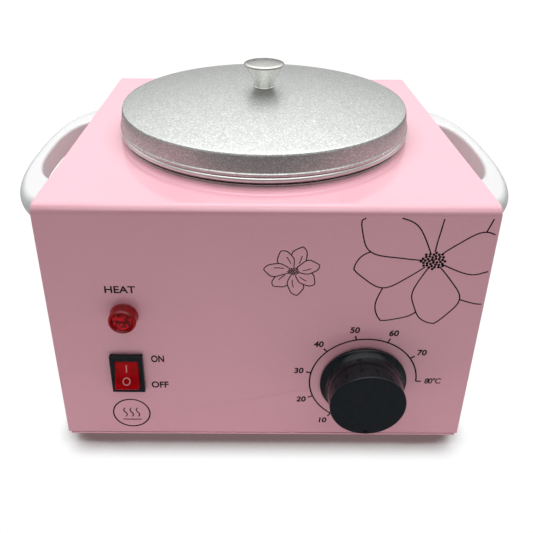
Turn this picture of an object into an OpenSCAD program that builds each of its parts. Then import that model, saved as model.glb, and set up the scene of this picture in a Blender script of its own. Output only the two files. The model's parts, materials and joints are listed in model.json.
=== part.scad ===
// Single-pot wax warmer: a bent sheet-metal case with a heated well, a lift-out
// wax pot with a lid, a thermostat dial, a rocker switch, a pilot lamp, two
// carrying handles and a tied-up power cord.
// Units are millimetres. +Z is up, -Y is the control panel and the origin is the
// centre of the case's footprint on the table.

/* [Case] */
// Width of the case
body_w = 190; // [188:1:200]
// Depth of the case
body_d = 185; // [184:1:195]
// Height of the case, from the front wall's bottom edge to the top
body_h = 125; // [122:1:135]
// Thickness of the sheet steel
sheet = 1; // [0.8:0.1:1.2]
// Outside radius of the case's two long bends
bend_r = 4; // [3:0.5:6]
// Height of the case's bottom edge above the table
lift = 8; // [7:0.5:12]

/* [Pot and lid] */
// Outside radius of the wax pot's wall
pot_r = 70.8; // [66:0.1:71]
// Wall thickness of the wax pot
pot_wall = 1.2; // [1:0.1:1.6]
// Outside radius of the pot's rolled rim and of the lid's lower edge
rim_r = 75.1; // [74:0.1:76]
// Radius of the lid where its top meets its skirt
lid_top_r = 73.8; // [72:0.1:74]
// Height of that edge above the case
lid_edge_h = 14.85; // [12:0.1:16]
// Height of the middle of the lid above the case
lid_crown_h = 21.8; // [19:0.1:24]
// Height of the lid's knob
lid_knob_h = 14; // [12:0.5:18]

/* [Controls] */
// Distance of the thermostat's axis to the right of the middle
dial_x = 46; // [42:0.5:48]
// Height of the thermostat's axis above the front wall's bottom edge
dial_h = 33.6; // [32:0.1:38]
// How far the control knob stands out from the panel
knob_out = 15.5; // [14:0.5:18]
// Radius of the control knob's flange
knob_flange_r = 20; // [19:0.5:22]
// Radius of the control knob's grip
knob_grip_r = 17.2; // [16.8:0.1:18]
// Distance of the switch to the left of the middle
switch_left = 62.6; // [60:0.1:64]
// Height of the switch above the front wall's bottom edge
switch_h = 38.5; // [36:0.5:42]
// Angle that the rocker tilts from its middle to either side
rocker_tilt = 20; // [10:1:20]
// Distance of the pilot lamp to the left of the middle
lamp_left = 61.6; // [60:0.1:64]
// Height of the pilot lamp above the front wall's bottom edge
lamp_h = 71; // [70:0.1:76]

/* [Handles] */
// How far a handle stands out from the case's edge
handle_out = 28.3; // [26:0.1:32]
// Half the length of a handle along the wall
handle_half = 66.5; // [64:0.5:70]
// Height of a handle's bar
handle_tall = 13; // [12:1:16]
// Height of a handle's middle above the front wall's bottom edge
handle_h = 105.8; // [100:0.1:108]
// Thickness of a handle's bar, seen from above
handle_grip = 7.8; // [7:0.1:9]

/* [Hidden] */
$fn = 96;
top_z = lift + body_h;
front_y = -body_d / 2;
side_x = body_w / 2 - sheet;
slack = 0.1;

// Pot, well and lid
well_r = pot_r + 0.4;
well_wall = 0.8;
well_out_r = well_r + well_wall;
well_floor_z = 38.2;
pot_floor_z = well_floor_z + 0.3;
pot_in_r = pot_r - pot_wall;
rim_z = top_z + 1.35;
rim_top_z = top_z + 4.65;
lid_base_z = top_z + 5;
lid_wall = 1.2;
lid_knob_z = top_z + lid_crown_h;

// Heater and insulation
band_r = well_out_r + 0.1;
band_thick = 1.4;
band_z = 46;
band_tall = 46;
band_split = 45;
ear_screw_r = band_r + 9;
ear_screw_h = 23;
post_h = 8;
sleeve_r = band_r + band_thick + 0.5;
sleeve_thick = 4;
sleeve_z = 42;
bulb_z = well_floor_z - 4;
sleeve_top = 126;
pad_r = 60;
pad_top = 30;

// Controls
dial_z = lift + dial_h;
switch_x = -switch_left;
switch_z = lift + switch_h;
lamp_x = -lamp_left;
lamp_z = lift + lamp_h;
bezel_w = 15;
bezel_tall = 21;
bezel_out = 2;
rocker_w = 10.5;
rocker_half = 6.5;
rocker_end_out = 4.3;
rocker_r = norm([rocker_half, rocker_end_out]);
pin_r = 0.9;
shaft_r = 3;
thermo_w = 30;
thermo_tall = 34;
thermo_back = -73;
thermo_screw_at = 12;
blade_x = 6;
blade_y = -80;
blade_low_z = dial_z - thermo_tall / 2 - 7;
lamp_r = 6.3;
barrel_r = 5;

// Base, feet and fixings
base_thick = 1.1;
base_top = lift - 0.3;
base_z = base_top - base_thick;
foot_x = 74;
foot_y = 70;
foot_r = 9;
cover_screw_x = 60;
cover_screw_y = 86;
screw_r = 1.8;
handle_z = lift + handle_h;
handle_screw_y = 54;
handle_top_round = 4;
handle_low_round = 5.2;
bow_power = 2.45;

// Power cord
cord_r = 3.2;
cord_y = -front_y + 10.5;
cord_bend_r = cord_y + front_y - 4;
cord_in_y = -front_y - 9;
relief_x = -70.8;
relief_z = 86;
coil_z = 31.7;
coil_half = 40;
coil_pitch = 7.2;
coil_in_r = 11;
coil_mid_r = 27.2;
cord_end_z = 26;
cord_end_x = 16;
plug_face_x = -18;
plug_z = coil_z + coil_pitch - coil_mid_r + 2 * coil_in_r;

// Wiring
block_x = -45;
block_y = 66;
way_pitch = 8;
block_screw_x = 20;
stud_x = -58;
stud_y = 42;
wire_z = base_top + 7;
wire_y = blade_y + 0.4;
switch_blade_pitch = 6;
switch_blade_y = front_y + 19.5;
post_end_r = band_r + band_thick + 8.8;
post_turn = 8;

// ---------------------------------------------------------------- helpers

// Repeats its children left and right, front and back
module four_corners(x, y) {
    for (sx = [-1, 1], sy = [-1, 1]) translate([sx * x, sy * y, 0]) children();
}

// A block given by its lowest and highest corners
module block(low, high) {
    translate(low) cube(high - low);
}

// A tube of wall thickness wall, standing on z = 0
module tube(r, wall, tall) {
    difference() {
        cylinder(r = r, h = tall);
        translate([0, 0, -1]) cylinder(r = r - wall, h = tall + 2);
    }
}

// Turns +Z to point out of the control panel
module to_front(x, z) {
    translate([x, front_y, z]) rotate([90, 0, 0]) children();
}

// A straight round bar from a to b
module bar(a, b, r, sides = 48) {
    v = b - a;
    long = norm(v);
    translate(a) rotate([0, acos(v.z / long), atan2(v.y, v.x)])
        cylinder(r = r, h = long, $fn = sides);
}

// A wire through a list of points: eight-sided runs that end inside a ball at each bend
module wire(p, r) {
    ball_r = 1.3 * r;
    last = len(p) - 2;
    for (i = [0 : last]) {
        along = (p[i + 1] - p[i]) / norm(p[i + 1] - p[i]);
        start = i == 0 ? 0 : 0.6 * r;
        end = i == last ? 0 : 0.6 * r;
        bar(p[i] + start * along, p[i + 1] - end * along, r, 8);
    }
    for (i = [1 : last]) translate(p[i]) sphere(r = ball_r, $fn = 10);
}

// A case section: a box with two rounded top corners, standing on y = 0
module case_section(w, h, r) {
    translate([-w / 2, 0]) square([w, h - r]);
    translate([-w / 2 + r, 0]) square([w - 2 * r, h]);
    for (s = [-1, 1]) translate([s * (w / 2 - r), h - r]) circle(r = r);
}

// Extrudes a section drawn in Y and Z along X, centred
module along_x(w) {
    rotate([90, 0, 90]) linear_extrude(w, center = true) children();
}

// A machine screw along +Z with a pan head below z = 0
module screw(r, shank, head_r, head_h) {
    cylinder(r = r, h = shank, $fn = 32);
    difference() {
        translate([0, 0, -head_h]) cylinder(r = head_r, h = head_h + 0.01, $fn = 32);
        for (a = [0, 90])
            rotate(a) translate([-head_r * 0.6, -0.4, -head_h - 1]) cube([head_r * 1.2, 0.8, 1.9]);
    }
}

// A hexagon nut standing on z = 0, with a clear bore
module nut(across, tall, bore_r) {
    difference() {
        cylinder(r = across / sqrt(3), h = tall, $fn = 6);
        translate([0, 0, -1]) cylinder(r = bore_r, h = tall + 2, $fn = 32);
    }
}

// ------------------------------------------------------------------- case

module cover_section() {
    difference() {
        case_section(body_d, body_h, bend_r);
        translate([0, sheet]) case_section(body_d - 2 * sheet, body_h - 2 * sheet, bend_r - sheet);
        translate([-body_d / 2 + 12, -1]) square([body_d - 24, sheet + 2]);
    }
}

// Front, top and back in one bent sheet, with a short lip under the front and back
module outer_cover() {
    color("pink") difference() {
        translate([0, 0, lift]) along_x(body_w) cover_section();
        translate([0, 0, top_z - 5]) cylinder(r = well_out_r + 0.4, h = 10);
        for (s = [-1, 1], t = [-1, 1])
            translate([s * (body_w / 2 - 7), t * (body_d / 2 - sheet - 10), lift])
                cube([16, 20, 3 * sheet], center = true);
        to_front(dial_x, dial_z) translate([0, 0, -5]) {
            cylinder(r = 5.2, h = 10);
            for (s = [-1, 1]) translate([s * thermo_screw_at, 0, 0]) cylinder(r = 1.7, h = 10);
        }
        to_front(lamp_x, lamp_z) translate([0, 0, -5]) cylinder(r = barrel_r + 0.1, h = 10);
        to_front(switch_x, switch_z) cube([13, 19.1, 10], center = true);
        translate([relief_x, body_d / 2 - 5, relief_z]) rotate([-90, 0, 0]) cylinder(r = 6.1, h = 10);
        four_corners(cover_screw_x, cover_screw_y)
            translate([0, 0, lift - 1]) cylinder(r = 1.4, h = 4, $fn = 32);
    }
}

// A flanged tray that closes one end of the case, just inside the cover's edge
module side_panel(s) {
    inside_w = body_d - 2 * sheet - 2 * slack;
    inside_h = body_h - sheet - slack;
    flange = 9;
    difference() {
        translate([s * (side_x - (flange + sheet) / 2), 0, lift])
            along_x(flange + sheet) case_section(inside_w, inside_h, bend_r - sheet);
        translate([s * (side_x - (flange + sheet) / 2 - sheet), 0, lift + sheet])
            along_x(flange + sheet)
                case_section(inside_w - 2 * sheet, inside_h - 2 * sheet, bend_r - 2 * sheet);
        for (t = [-1, 1])
            translate([s * (side_x - 5), t * handle_screw_y, handle_z])
                rotate([0, 90, 0]) cylinder(r = 2.1, h = 20, center = true, $fn = 32);
    }
}

module left_side_panel() {
    color("pink") side_panel(-1);
}

module right_side_panel() {
    color("pink") side_panel(1);
}

// Row of air slots across the base at y, from slot number first to the right
module air_slots(y, first) {
    for (i = [first : 5])
        translate([i * 9, y, base_z - 1]) {
            for (t = [-1, 1]) translate([0, t * 5, 0]) cylinder(r = 2, h = 4, $fn = 32);
            translate([-2, -5, 0]) cube([4, 10, 4]);
        }
}

// Its long edges show as a hem below the front and back walls
module base_plate() {
    edge_x = body_w / 2 - 1.2;
    edge_y = body_d / 2 - 0.05;
    color("pink") difference() {
        block([-edge_x, -edge_y, base_z], [edge_x, edge_y, base_top]);
        air_slots(-69, -5);
        air_slots(69, -1);
        four_corners(foot_x, foot_y) translate([0, 0, base_z - 1]) cylinder(r = 2.1, h = 4, $fn = 32);
        four_corners(cover_screw_x, cover_screw_y)
            translate([0, 0, base_z - 1]) cylinder(r = 1.9, h = 4, $fn = 32);
        translate([stud_x, stud_y, base_z - 1]) cylinder(r = 2.2, h = 4, $fn = 32);
        for (s = [-1, 1])
            translate([block_x + s * block_screw_x, block_y, base_z - 1])
                cylinder(r = 1.6, h = 4, $fn = 32);
    }
}

// ------------------------------------------------------------ well and pot

// Section of a cup: outside radius, wall, floor and top heights, corner radius
module cup_section(r, wall, floor_z, cup_top, corner) {
    difference() {
        union() {
            translate([0, floor_z]) square([r - corner, cup_top - floor_z]);
            translate([0, floor_z + corner]) square([r, cup_top - floor_z - corner]);
            translate([r - corner, floor_z + corner]) circle(r = corner);
        }
        translate([0, floor_z + corner]) square([r - wall, cup_top - floor_z]);
        translate([0, floor_z + wall]) square([r - corner, cup_top - floor_z]);
        translate([r - corner, floor_z + corner]) circle(r = corner - wall);
    }
}

// Fixed cup that the wax pot stands in, hung by its flange from the cover
module heating_well() {
    color("silver") rotate_extrude() {
        cup_section(well_out_r, well_wall, well_floor_z - well_wall, top_z + 0.9, 6.5);
        translate([well_out_r - 0.4, top_z + 0.1]) square([2.6, 0.8]);
    }
}

// Lift-out pot for the wax, with a rolled rim
module wax_pot() {
    roll_r = (rim_top_z - rim_z) / 2;
    color("lightgray") rotate_extrude() {
        cup_section(pot_r, pot_wall, pot_floor_z, rim_top_z - 0.6, 6);
        translate([pot_in_r, rim_top_z - pot_wall]) square([rim_r - roll_r - pot_in_r, pot_wall]);
        translate([rim_r - roll_r, rim_z + roll_r]) circle(r = roll_r);
    }
}

// Outside profile of the lid, from its middle to its lower edge
function lid_profile(inset) =
    let (
        edge_r = lid_top_r - 1.2 - inset,
        rise = lid_crown_h - lid_edge_h - 0.2,
        dome_r = (edge_r * edge_r + rise * rise) / (2 * rise),
        spread = asin(edge_r / dome_r),
        crown = lid_crown_h - inset
    )
    concat(
        [for (i = [0 : 12])
            let (t = spread * i / 12)
            [dome_r * sin(t), top_z + crown - dome_r * (1 - cos(t))]],
        [[lid_top_r - 0.45 - inset, top_z + lid_edge_h - 0.2 - inset],
         [lid_top_r + 0.05 - inset, top_z + lid_edge_h - 1 - inset],
         [rim_r - 0.35 - inset, lid_base_z + 1.3],
         [rim_r - inset, lid_base_z + 0.7],
         [rim_r - inset, lid_base_z]]
    );

module lid() {
    outside = lid_profile(0);
    inside = lid_profile(lid_wall);
    lip_r = pot_in_r - 0.6;
    color("silver") difference() {
        union() {
            rotate_extrude() polygon(concat(outside, [for (i = [len(inside) - 1 : -1 : 0]) inside[i]]));
            translate([0, 0, top_z + 1]) tube(lip_r, 1, lid_edge_h - 1.2);
        }
        translate([0, 0, top_z]) cylinder(r = 2.2, h = 40, $fn = 32);
    }
}

// Flared, polished knob on the lid
module lid_knob() {
    waist_r = 5.5;
    waist_h = 2.4;
    lip_r = 10.4;
    color("whitesmoke") translate([0, 0, lid_knob_z + 0.05]) difference() {
        rotate_extrude() polygon(concat(
            [[0, 0], [5.1, 0], [5.4, 0.4], [waist_r, waist_h]],
            [for (i = [1 : 6])
                [waist_r + (lip_r - 0.3 - waist_r) * pow(i / 6, 1.15),
                 waist_h + (lid_knob_h - 2.2 - waist_h) * i / 6]],
            [[lip_r, lid_knob_h - 1.8], [lip_r - 0.1, lid_knob_h - 1.3], [lip_r - 0.8, lid_knob_h - 0.9],
             [lip_r - 3, lid_knob_h - 0.5], [lip_r - 6.4, lid_knob_h - 0.1], [0, lid_knob_h]]
        ));
        translate([0, 0, -1]) cylinder(r = 1.9, h = 9, $fn = 32);
    }
}

// Screw and washer that hold the lid's knob from below
module lid_screw() {
    under = lid_knob_z - lid_wall - 0.15;
    color("gainsboro") translate([0, 0, under]) {
        translate([0, 0, -1]) cylinder(r = 5, h = 1);
        translate([0, 0, -1]) screw(1.8, 9, 3.4, 2.2);
    }
}

// ----------------------------------------------------- heater and insulation

// Clamp ears and terminal posts sit in one gap at the back right corner
module heater_band() {
    r = band_r + band_thick;
    color("goldenrod") translate([0, 0, band_z]) {
        difference() {
            tube(r, band_thick, band_tall);
            rotate(band_split) translate([band_r - 3, -2, -1]) cube([8, 4, band_tall + 2]);
        }
        rotate(band_split) for (s = [-1, 1]) difference() {
            translate([band_r + 0.2, s * 2.8 - 0.8, 14]) cube([13, 1.6, 18]);
            translate([ear_screw_r, 0, ear_screw_h])
                rotate([90, 0, 0]) cylinder(r = 2.1, h = 20, center = true, $fn = 32);
        }
        for (s = [-1, 1])
            rotate(band_split + s * post_turn)
                translate([r - 0.6, 0, post_h]) rotate([0, 90, 0]) cylinder(r = 2.6, h = 8, $fn = 32);
    }
}

module band_screw() {
    color("gainsboro") rotate(band_split)
        translate([ear_screw_r, -3.7, band_z + ear_screw_h]) rotate([-90, 0, 0]) {
            screw(1.9, 12, 3.5, 2.4);
            translate([0, 0, 7.5]) nut(7, 3, 1.8);
        }
}

module insulation_sleeve() {
    color("ivory") translate([0, 0, sleeve_z]) difference() {
        tube(sleeve_r + sleeve_thick, sleeve_thick, sleeve_top - sleeve_z);
        rotate(band_split) translate([sleeve_r - 5, -18, -1]) cube([16, 36, 52]);
    }
}

module insulation_pad() {
    color("ivory") translate([0, 0, base_top + slack])
        cylinder(r = pad_r, h = pad_top - base_top - slack);
}

module bulb_clip() {
    floor_z = well_floor_z - well_wall;
    color("lightgray") difference() {
        union() {
            block([-14, -5.2, pad_top + 0.3], [-6, 5.2, floor_z - slack]);
            block([-14, -11, floor_z - 0.9], [-6, 11, floor_z - slack]);
        }
        block([-15, -4.4, pad_top + 1.1], [-5, 4.4, floor_z + 1]);
    }
}

module sensing_bulb() {
    color("peru") bar([-32, 0, bulb_z], [24, 0, bulb_z], 2.8);
}

module capillary_tube() {
    color("peru") wire([
        [dial_x, thermo_back + slack, 30], [dial_x, -69, 30], [44, -63, bulb_z],
        [40, -50, bulb_z], [31, -2, bulb_z], [28, 0, bulb_z], [24.1, 0, bulb_z]
    ], 0.9);
}

// Disc-shaped safety switch under the well's floor
module thermal_cutout() {
    floor_z = well_floor_z - well_wall;
    color("dimgray") translate([0, 32, floor_z - slack]) mirror([0, 0, 1]) {
        cylinder(r = 8, h = 4.5);
        translate([0, 0, 4]) cylinder(r = 5.5, h = 2);
        translate([-14, -3, 0]) cube([28, 6, 0.8]);
    }
}

// ---------------------------------------------------------------- controls

// Switching part of the thermostat, with its bushing and two blades
module thermostat_body() {
    color("saddlebrown") difference() {
        union() {
            block([dial_x - thermo_w / 2, front_y + sheet + slack, dial_z - thermo_tall / 2],
                  [dial_x + thermo_w / 2, thermo_back, dial_z + thermo_tall / 2]);
            to_front(dial_x, dial_z) translate([0, 0, -2]) cylinder(r = 5, h = 4);
            for (s = [-1, 1])
                translate([dial_x + s * blade_x - 2.4, blade_y, blade_low_z]) cube([4.8, 0.8, 8]);
        }
        to_front(dial_x, dial_z) {
            translate([0, 0, -16.5]) cylinder(r = shaft_r + 0.06, h = 30);
            for (s = [-1, 1]) translate([s * thermo_screw_at, 0, -9]) cylinder(r = 1.6, h = 20, $fn = 32);
        }
    }
}

module thermostat_shaft() {
    color("silver") to_front(dial_x, dial_z) translate([0, 0, -16]) cylinder(r = shaft_r, h = 26);
}

module thermostat_screws() {
    color("silver") for (s = [-1, 1])
        to_front(dial_x + s * thermo_screw_at, dial_z) translate([0, 0, slack]) mirror([0, 0, 1])
            screw(1.5, 7, 2.8, 1.6);
}

// Flanged knob, hollow behind, with a marker dimple near its rim
module control_knob() {
    gap = 0.4;
    color("black") to_front(dial_x, dial_z) difference() {
        rotate_extrude() polygon([
            [0, gap], [knob_flange_r - 0.3, gap], [knob_flange_r, gap + 0.3], [knob_flange_r, 1.5],
            [knob_flange_r - 0.7, 2.2], [knob_grip_r + 1.2, 2.7], [knob_grip_r + 0.5, 3.4],
            [knob_grip_r, 4.6], [knob_grip_r - 0.1, knob_out - 0.9], [knob_grip_r - 0.35, knob_out - 0.3],
            [knob_grip_r - 0.95, knob_out], [0, knob_out]
        ]);
        difference() {
            translate([0, 0, -1]) cylinder(r = 15.6, h = 10);
            translate([0, 0, 3]) cylinder(r = 6, h = 20);
        }
        translate([0, 0, -1]) cylinder(r = shaft_r + 0.03, h = 12);
        translate([0, -(knob_grip_r - 2.6), knob_out - 0.6]) cylinder(r = 1.05, h = 2, $fn = 32);
    }
}

// Snap-in housing with the bezel, open in front for the rocker
module switch_housing() {
    deep = 12;
    open_w = rocker_w + 0.4;
    open_tall = 2 * rocker_r + 0.2;
    color("black") to_front(switch_x, switch_z) difference() {
        union() {
            translate([-bezel_w / 2, -bezel_tall / 2, 0.05]) cube([bezel_w, bezel_tall, bezel_out]);
            translate([-6.4, -9.45, -deep]) cube([12.8, 18.9, deep + 1]);
        }
        translate([-open_w / 2, -open_tall / 2, 1 - deep]) cube([open_w, open_tall, deep + 4]);
        rotate([0, 90, 0]) cylinder(r = pin_r + 0.05, h = 12.2, center = true, $fn = 32);
    }
}

// Rocker in its ON position: the upper end is pressed in
module rocker() {
    color("red") to_front(switch_x, switch_z) rotate([-rocker_tilt, 0, 0]) {
        intersection() {
            rotate([0, 90, 0]) cylinder(r = rocker_r, h = rocker_w, center = true);
            rotate([90, 0, 90]) linear_extrude(rocker_w + 2, center = true) polygon([
                [-10, -3], [10, -3], [10, rocker_end_out + 0.5], [rocker_half, rocker_end_out],
                [3, 3.75], [0, 3.5], [-3, 3.75], [-rocker_half, rocker_end_out],
                [-10, rocker_end_out + 0.5]
            ]);
        }
        rotate([0, 90, 0]) cylinder(r = pin_r, h = rocker_w + 1.4, center = true, $fn = 32);
    }
}

module switch_terminals() {
    color("gainsboro") to_front(switch_x, switch_z)
        for (i = [-1 : 1])
            translate([-2.4, i * switch_blade_pitch - 0.4, front_y - switch_blade_y])
                cube([4.8, 0.8, 7.4]);
}

// Red lens with a raised rim, and its barrel, which passes through the panel
module lamp_lens() {
    color("crimson") to_front(lamp_x, lamp_z) difference() {
        rotate_extrude() polygon([
            [0, -14], [barrel_r, -14], [barrel_r, 0.05], [lamp_r, 0.05], [lamp_r, 4.6],
            [lamp_r - 0.3, 5.2], [lamp_r - 0.8, 5.5], [lamp_r - 1.3, 5.3], [lamp_r - 1.7, 4.5],
            [2.4, 5.1], [0, 5.2]
        ]);
        translate([0, 0, -15]) cylinder(r = barrel_r - 1, h = 18);
    }
}

module neon_bulb() {
    color("orangered") to_front(lamp_x, lamp_z) {
        translate([0, 0, -12]) cylinder(r = 2.6, h = 11);
        translate([0, 0, -1]) sphere(r = 2.58);
    }
}

module lamp_nut() {
    color("black") to_front(lamp_x, lamp_z) translate([0, 0, -sheet - slack - 2.4])
        difference() {
            cylinder(r = 7.6, h = 2.4, $fn = 8);
            translate([0, 0, -1]) cylinder(r = barrel_r + 0.05, h = 5);
        }
}

// ------------------------------------------------------------------ handles

// Outline in X and Y of a loop that bows out from the wall, standing out by out
function bow(out, half) = concat(
    [[side_x + 0.05, -half]],
    [for (i = [-24 : 24])
        let (t = 90 * i / 24)
        [body_w / 2 + out * pow(abs(cos(t)), 2 / bow_power),
         sign(i) * half * pow(abs(sin(t)), 2 / bow_power)]],
    [[side_x + 0.05, half]]
);

// One level of a handle's outside, drawn in from the widest outline
module handle_level(z, inset) {
    translate([0, 0, z]) linear_extrude(0.01) polygon(bow(handle_out - inset, handle_half - inset));
}

// Loop handle: rounded outside, straight inside, with a screw hole in each leg
module handle() {
    low = handle_z - handle_tall / 2;
    high = handle_z + handle_tall / 2 - 0.01;
    widest = low + 0.585 * handle_tall;
    difference() {
        hull() for (t = [0, 0.45, 0.75, 0.92, 1]) {
            rounding = 1 - pow(1 - pow(t, 1.8), 1 / 1.8);
            handle_level(widest + t * (high - widest), handle_top_round * rounding);
            handle_level(widest - t * (widest - low), handle_low_round * rounding);
        }
        translate([-2, 0, low - 1]) linear_extrude(handle_tall + 2)
            polygon(bow(handle_out - handle_grip + 2, handle_half - 24));
        for (t = [-1, 1])
            translate([side_x - 1, t * handle_screw_y, handle_z])
                rotate([0, 90, 0]) cylinder(r = 1.7, h = 14, $fn = 32);
    }
}

module left_handle() {
    color("white") mirror([1, 0, 0]) handle();
}

module right_handle() {
    color("white") handle();
}

module handle_screws() {
    color("silver") for (s = [-1, 1], t = [-1, 1])
        translate([s * (side_x - sheet - 1), t * handle_screw_y, handle_z])
            rotate([0, s * 90, 0]) screw(1.6, 13, 3.5, 2.5);
}

module handle_washers() {
    color("silver") for (s = [-1, 1], t = [-1, 1])
        translate([s * (side_x - sheet - 0.5), t * handle_screw_y, handle_z]) rotate([0, 90, 0])
            difference() {
                cylinder(r = 4.5, h = 0.8, center = true);
                cylinder(r = 2.1, h = 3, center = true, $fn = 32);
            }
}

// ------------------------------------------------------------ base and feet

module rubber_feet() {
    tall = base_z - slack / 2;
    color("darkslategray") four_corners(foot_x, foot_y) difference() {
        rotate_extrude() polygon([
            [0, 0], [foot_r - 1.4, 0], [foot_r - 0.9, 0.6], [foot_r, tall], [0, tall]
        ]);
        translate([0, 0, -1]) cylinder(r = 4, h = 4.5);
        cylinder(r = 1.9, h = 20, $fn = 32);
    }
}

module foot_screws() {
    color("silver") four_corners(foot_x, foot_y)
        translate([0, 0, 3.4]) screw(screw_r, 9, 3.2, 2);
}

module foot_nuts() {
    color("silver") four_corners(foot_x, foot_y)
        translate([0, 0, base_top + slack]) nut(6, 2.6, screw_r + 0.05);
}

module base_screws() {
    color("silver") four_corners(cover_screw_x, cover_screw_y)
        translate([0, 0, base_z - 0.05]) screw(1.35, 7, 2.8, 1.7);
}

// ------------------------------------------------------------------- wiring

// Three-way block on the base, screwed down at both ends
module terminal_block() {
    color("ivory") difference() {
        union() {
            translate([block_x - 14, block_y - 8, base_top + slack]) cube([28, 16, 12.9]);
            translate([block_x - 24, block_y - 4, base_top + slack]) cube([48, 8, 2.9]);
        }
        for (i = [-1 : 1])
            translate([block_x + i * way_pitch, block_y, wire_z]) {
                rotate([90, 0, 0]) cylinder(r = 1.9, h = 20, center = true, $fn = 32);
                cylinder(r = 1.8, h = 20, $fn = 32);
            }
        for (s = [-1, 1])
            translate([block_x + s * block_screw_x, block_y, 0]) cylinder(r = 1.6, h = 40, $fn = 32);
    }
}

module earth_stud() {
    color("gold") translate([stud_x, stud_y, base_z - 0.05]) {
        screw(2, 14, 3.5, 1.6);
        translate([0, 0, 1.3]) nut(7, 3, 1.9);
        translate([0, 0, 5.6]) nut(7, 3, 1.9);
    }
}

module live_wire() {
    color("saddlebrown") wire([
        [block_x - way_pitch, block_y - 4, wire_z], [block_x - way_pitch, block_y - 12, wire_z],
        [-86, 40, wire_z], [-86, -42, wire_z], [switch_x, -62, 30],
        [switch_x, -68, switch_z - switch_blade_pitch],
        [switch_x, switch_blade_y + slack, switch_z - switch_blade_pitch]
    ], 1.3);
}

module switched_wire() {
    color("black") wire([
        [switch_x, switch_blade_y + slack, switch_z], [switch_x, -69, switch_z],
        [switch_x + 9, -66, switch_z - 12], [-20, -84, wire_z],
        [dial_x - blade_x, wire_y, wire_z - 2], [dial_x - blade_x, wire_y, blade_low_z - slack]
    ], 1.2);
}

module heater_wire() {
    post = post_end_r * [cos(band_split - post_turn), sin(band_split - post_turn)];
    color("red") wire([
        [dial_x + blade_x, wire_y, blade_low_z - slack], [dial_x + blade_x, wire_y, wire_z - 1],
        [84, -66, wire_z + 5], [86, 20, wire_z + 5],
        [post.x, post.y, 34], [post.x, post.y, band_z + post_h + 1]
    ], 1.2);
}

module neutral_wire() {
    post = post_end_r * [cos(band_split + post_turn), sin(band_split + post_turn)];
    color("blue") wire([
        [block_x + way_pitch, block_y - 4, wire_z], [block_x + way_pitch, block_y - 10, wire_z],
        [-29, 56.5, wire_z + 2], [-14, 68, wire_z + 2], [40, 78, wire_z + 2],
        [post.x, post.y, 34], [post.x, post.y, band_z + post_h + 1]
    ], 1.2);
}

module earth_wire() {
    color("yellowgreen") wire([
        [block_x, block_y - 4, wire_z], [block_x, block_y - 13, wire_z],
        [block_x - 4, block_y - 16.5, wire_z + 11], [stud_x, stud_y, wire_z + 11],
        [stud_x, stud_y, base_z + 14.2]
    ], 1.2);
}

module lamp_leads() {
    color("blue") for (s = [-1, 1]) to_front(lamp_x + s * 1.4, lamp_z)
        wire([[0, 0, -12.1], [0, 0, -20], [s * 3, -8, -23], [s * 3, -18, -21]], 0.6);
}

// --------------------------------------------------------------- power cord

// Bushing that grips the cord where it passes through the back wall
module strain_relief() {
    color("black") translate([relief_x, body_d / 2, relief_z]) rotate([-90, 0, 0]) difference() {
        union() {
            translate([0, 0, -9]) cylinder(r = 5.9, h = 10);
            translate([0, 0, 0.05]) cylinder(r = 8.5, h = 1.8);
            translate([0, 0, 1.5]) cylinder(r = 6.4, h = 2.3);
        }
        translate([0, 0, -10]) cylinder(r = cord_r + slack, h = 20);
    }
}

module strain_relief_nut() {
    color("black") translate([relief_x, body_d / 2 - sheet - slack - 4, relief_z]) rotate([-90, 0, 0])
        nut(16, 4, 6);
}

// Part of a ring of cord in the X-Z plane, from angle a over the angle sweep
module cord_bend(x, z, r, a, sweep) {
    translate([x, cord_y, z]) rotate([90, 0, 0]) rotate(a)
        rotate_extrude(angle = sweep) translate([r, 0]) circle(r = cord_r);
}

module cord_run(x_from, x_to, z) {
    translate([x_from, cord_y, z]) rotate([0, 90, 0]) cylinder(r = cord_r, h = x_to - x_from);
}

// The cord leaves the case, turns down and lies in two flat, tied loops
module power_cord() {
    left_in_r = coil_mid_r - coil_pitch / 2;
    left_out_r = coil_mid_r + coil_pitch / 2;
    left_z = coil_z + coil_pitch / 2;
    color("black") {
        translate([relief_x, cord_in_y - cord_bend_r, cord_end_z])
            cylinder(r = cord_r, h = relief_z - cord_bend_r - cord_end_z);
        translate([relief_x, cord_in_y, relief_z - cord_bend_r]) rotate([90, 0, 90])
            rotate(90) rotate_extrude(angle = 90) translate([cord_bend_r, 0]) circle(r = cord_r);
        translate([relief_x, cord_in_y, relief_z]) rotate([-90, 0, 0])
            cylinder(r = cord_r, h = cord_y - cord_bend_r - cord_in_y);
        translate([relief_x, cord_y - cord_bend_r, relief_z - cord_bend_r]) rotate([90, 0, 90])
            rotate_extrude(angle = 90) translate([cord_bend_r, 0]) circle(r = cord_r);
        translate([relief_x, cord_y, left_z]) cylinder(r = cord_r, h = relief_z - cord_bend_r - left_z);
        cord_bend(-coil_half, left_z, left_out_r, 180, 90);
        cord_run(-coil_half, coil_half, left_z - left_out_r);
        cord_bend(coil_half, coil_z, coil_mid_r, -90, 180);
        cord_run(-coil_half, coil_half, coil_z + coil_mid_r);
        cord_bend(-coil_half, left_z, left_in_r, 90, 180);
        cord_run(-coil_half, coil_half, left_z - left_in_r);
        cord_bend(coil_half, left_z - left_in_r + coil_in_r, coil_in_r, -90, 180);
        cord_run(cord_end_x, coil_half, plug_z);
    }
}

// The cord's three conductors, fanned out to the terminal block
module cord_cores() {
    color("gray") for (i = [-1 : 1]) {
        core_y = cord_in_y - cord_bend_r + i * 1.9;
        core_x = block_x + i * way_pitch;
        wire([
            [relief_x, core_y, cord_end_z - slack], [relief_x, core_y, cord_end_z - 3],
            [core_x, core_y, wire_z + 4], [core_x, core_y, wire_z], [core_x, block_y + 2, wire_z]
        ], 0.7);
    }
}

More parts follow.
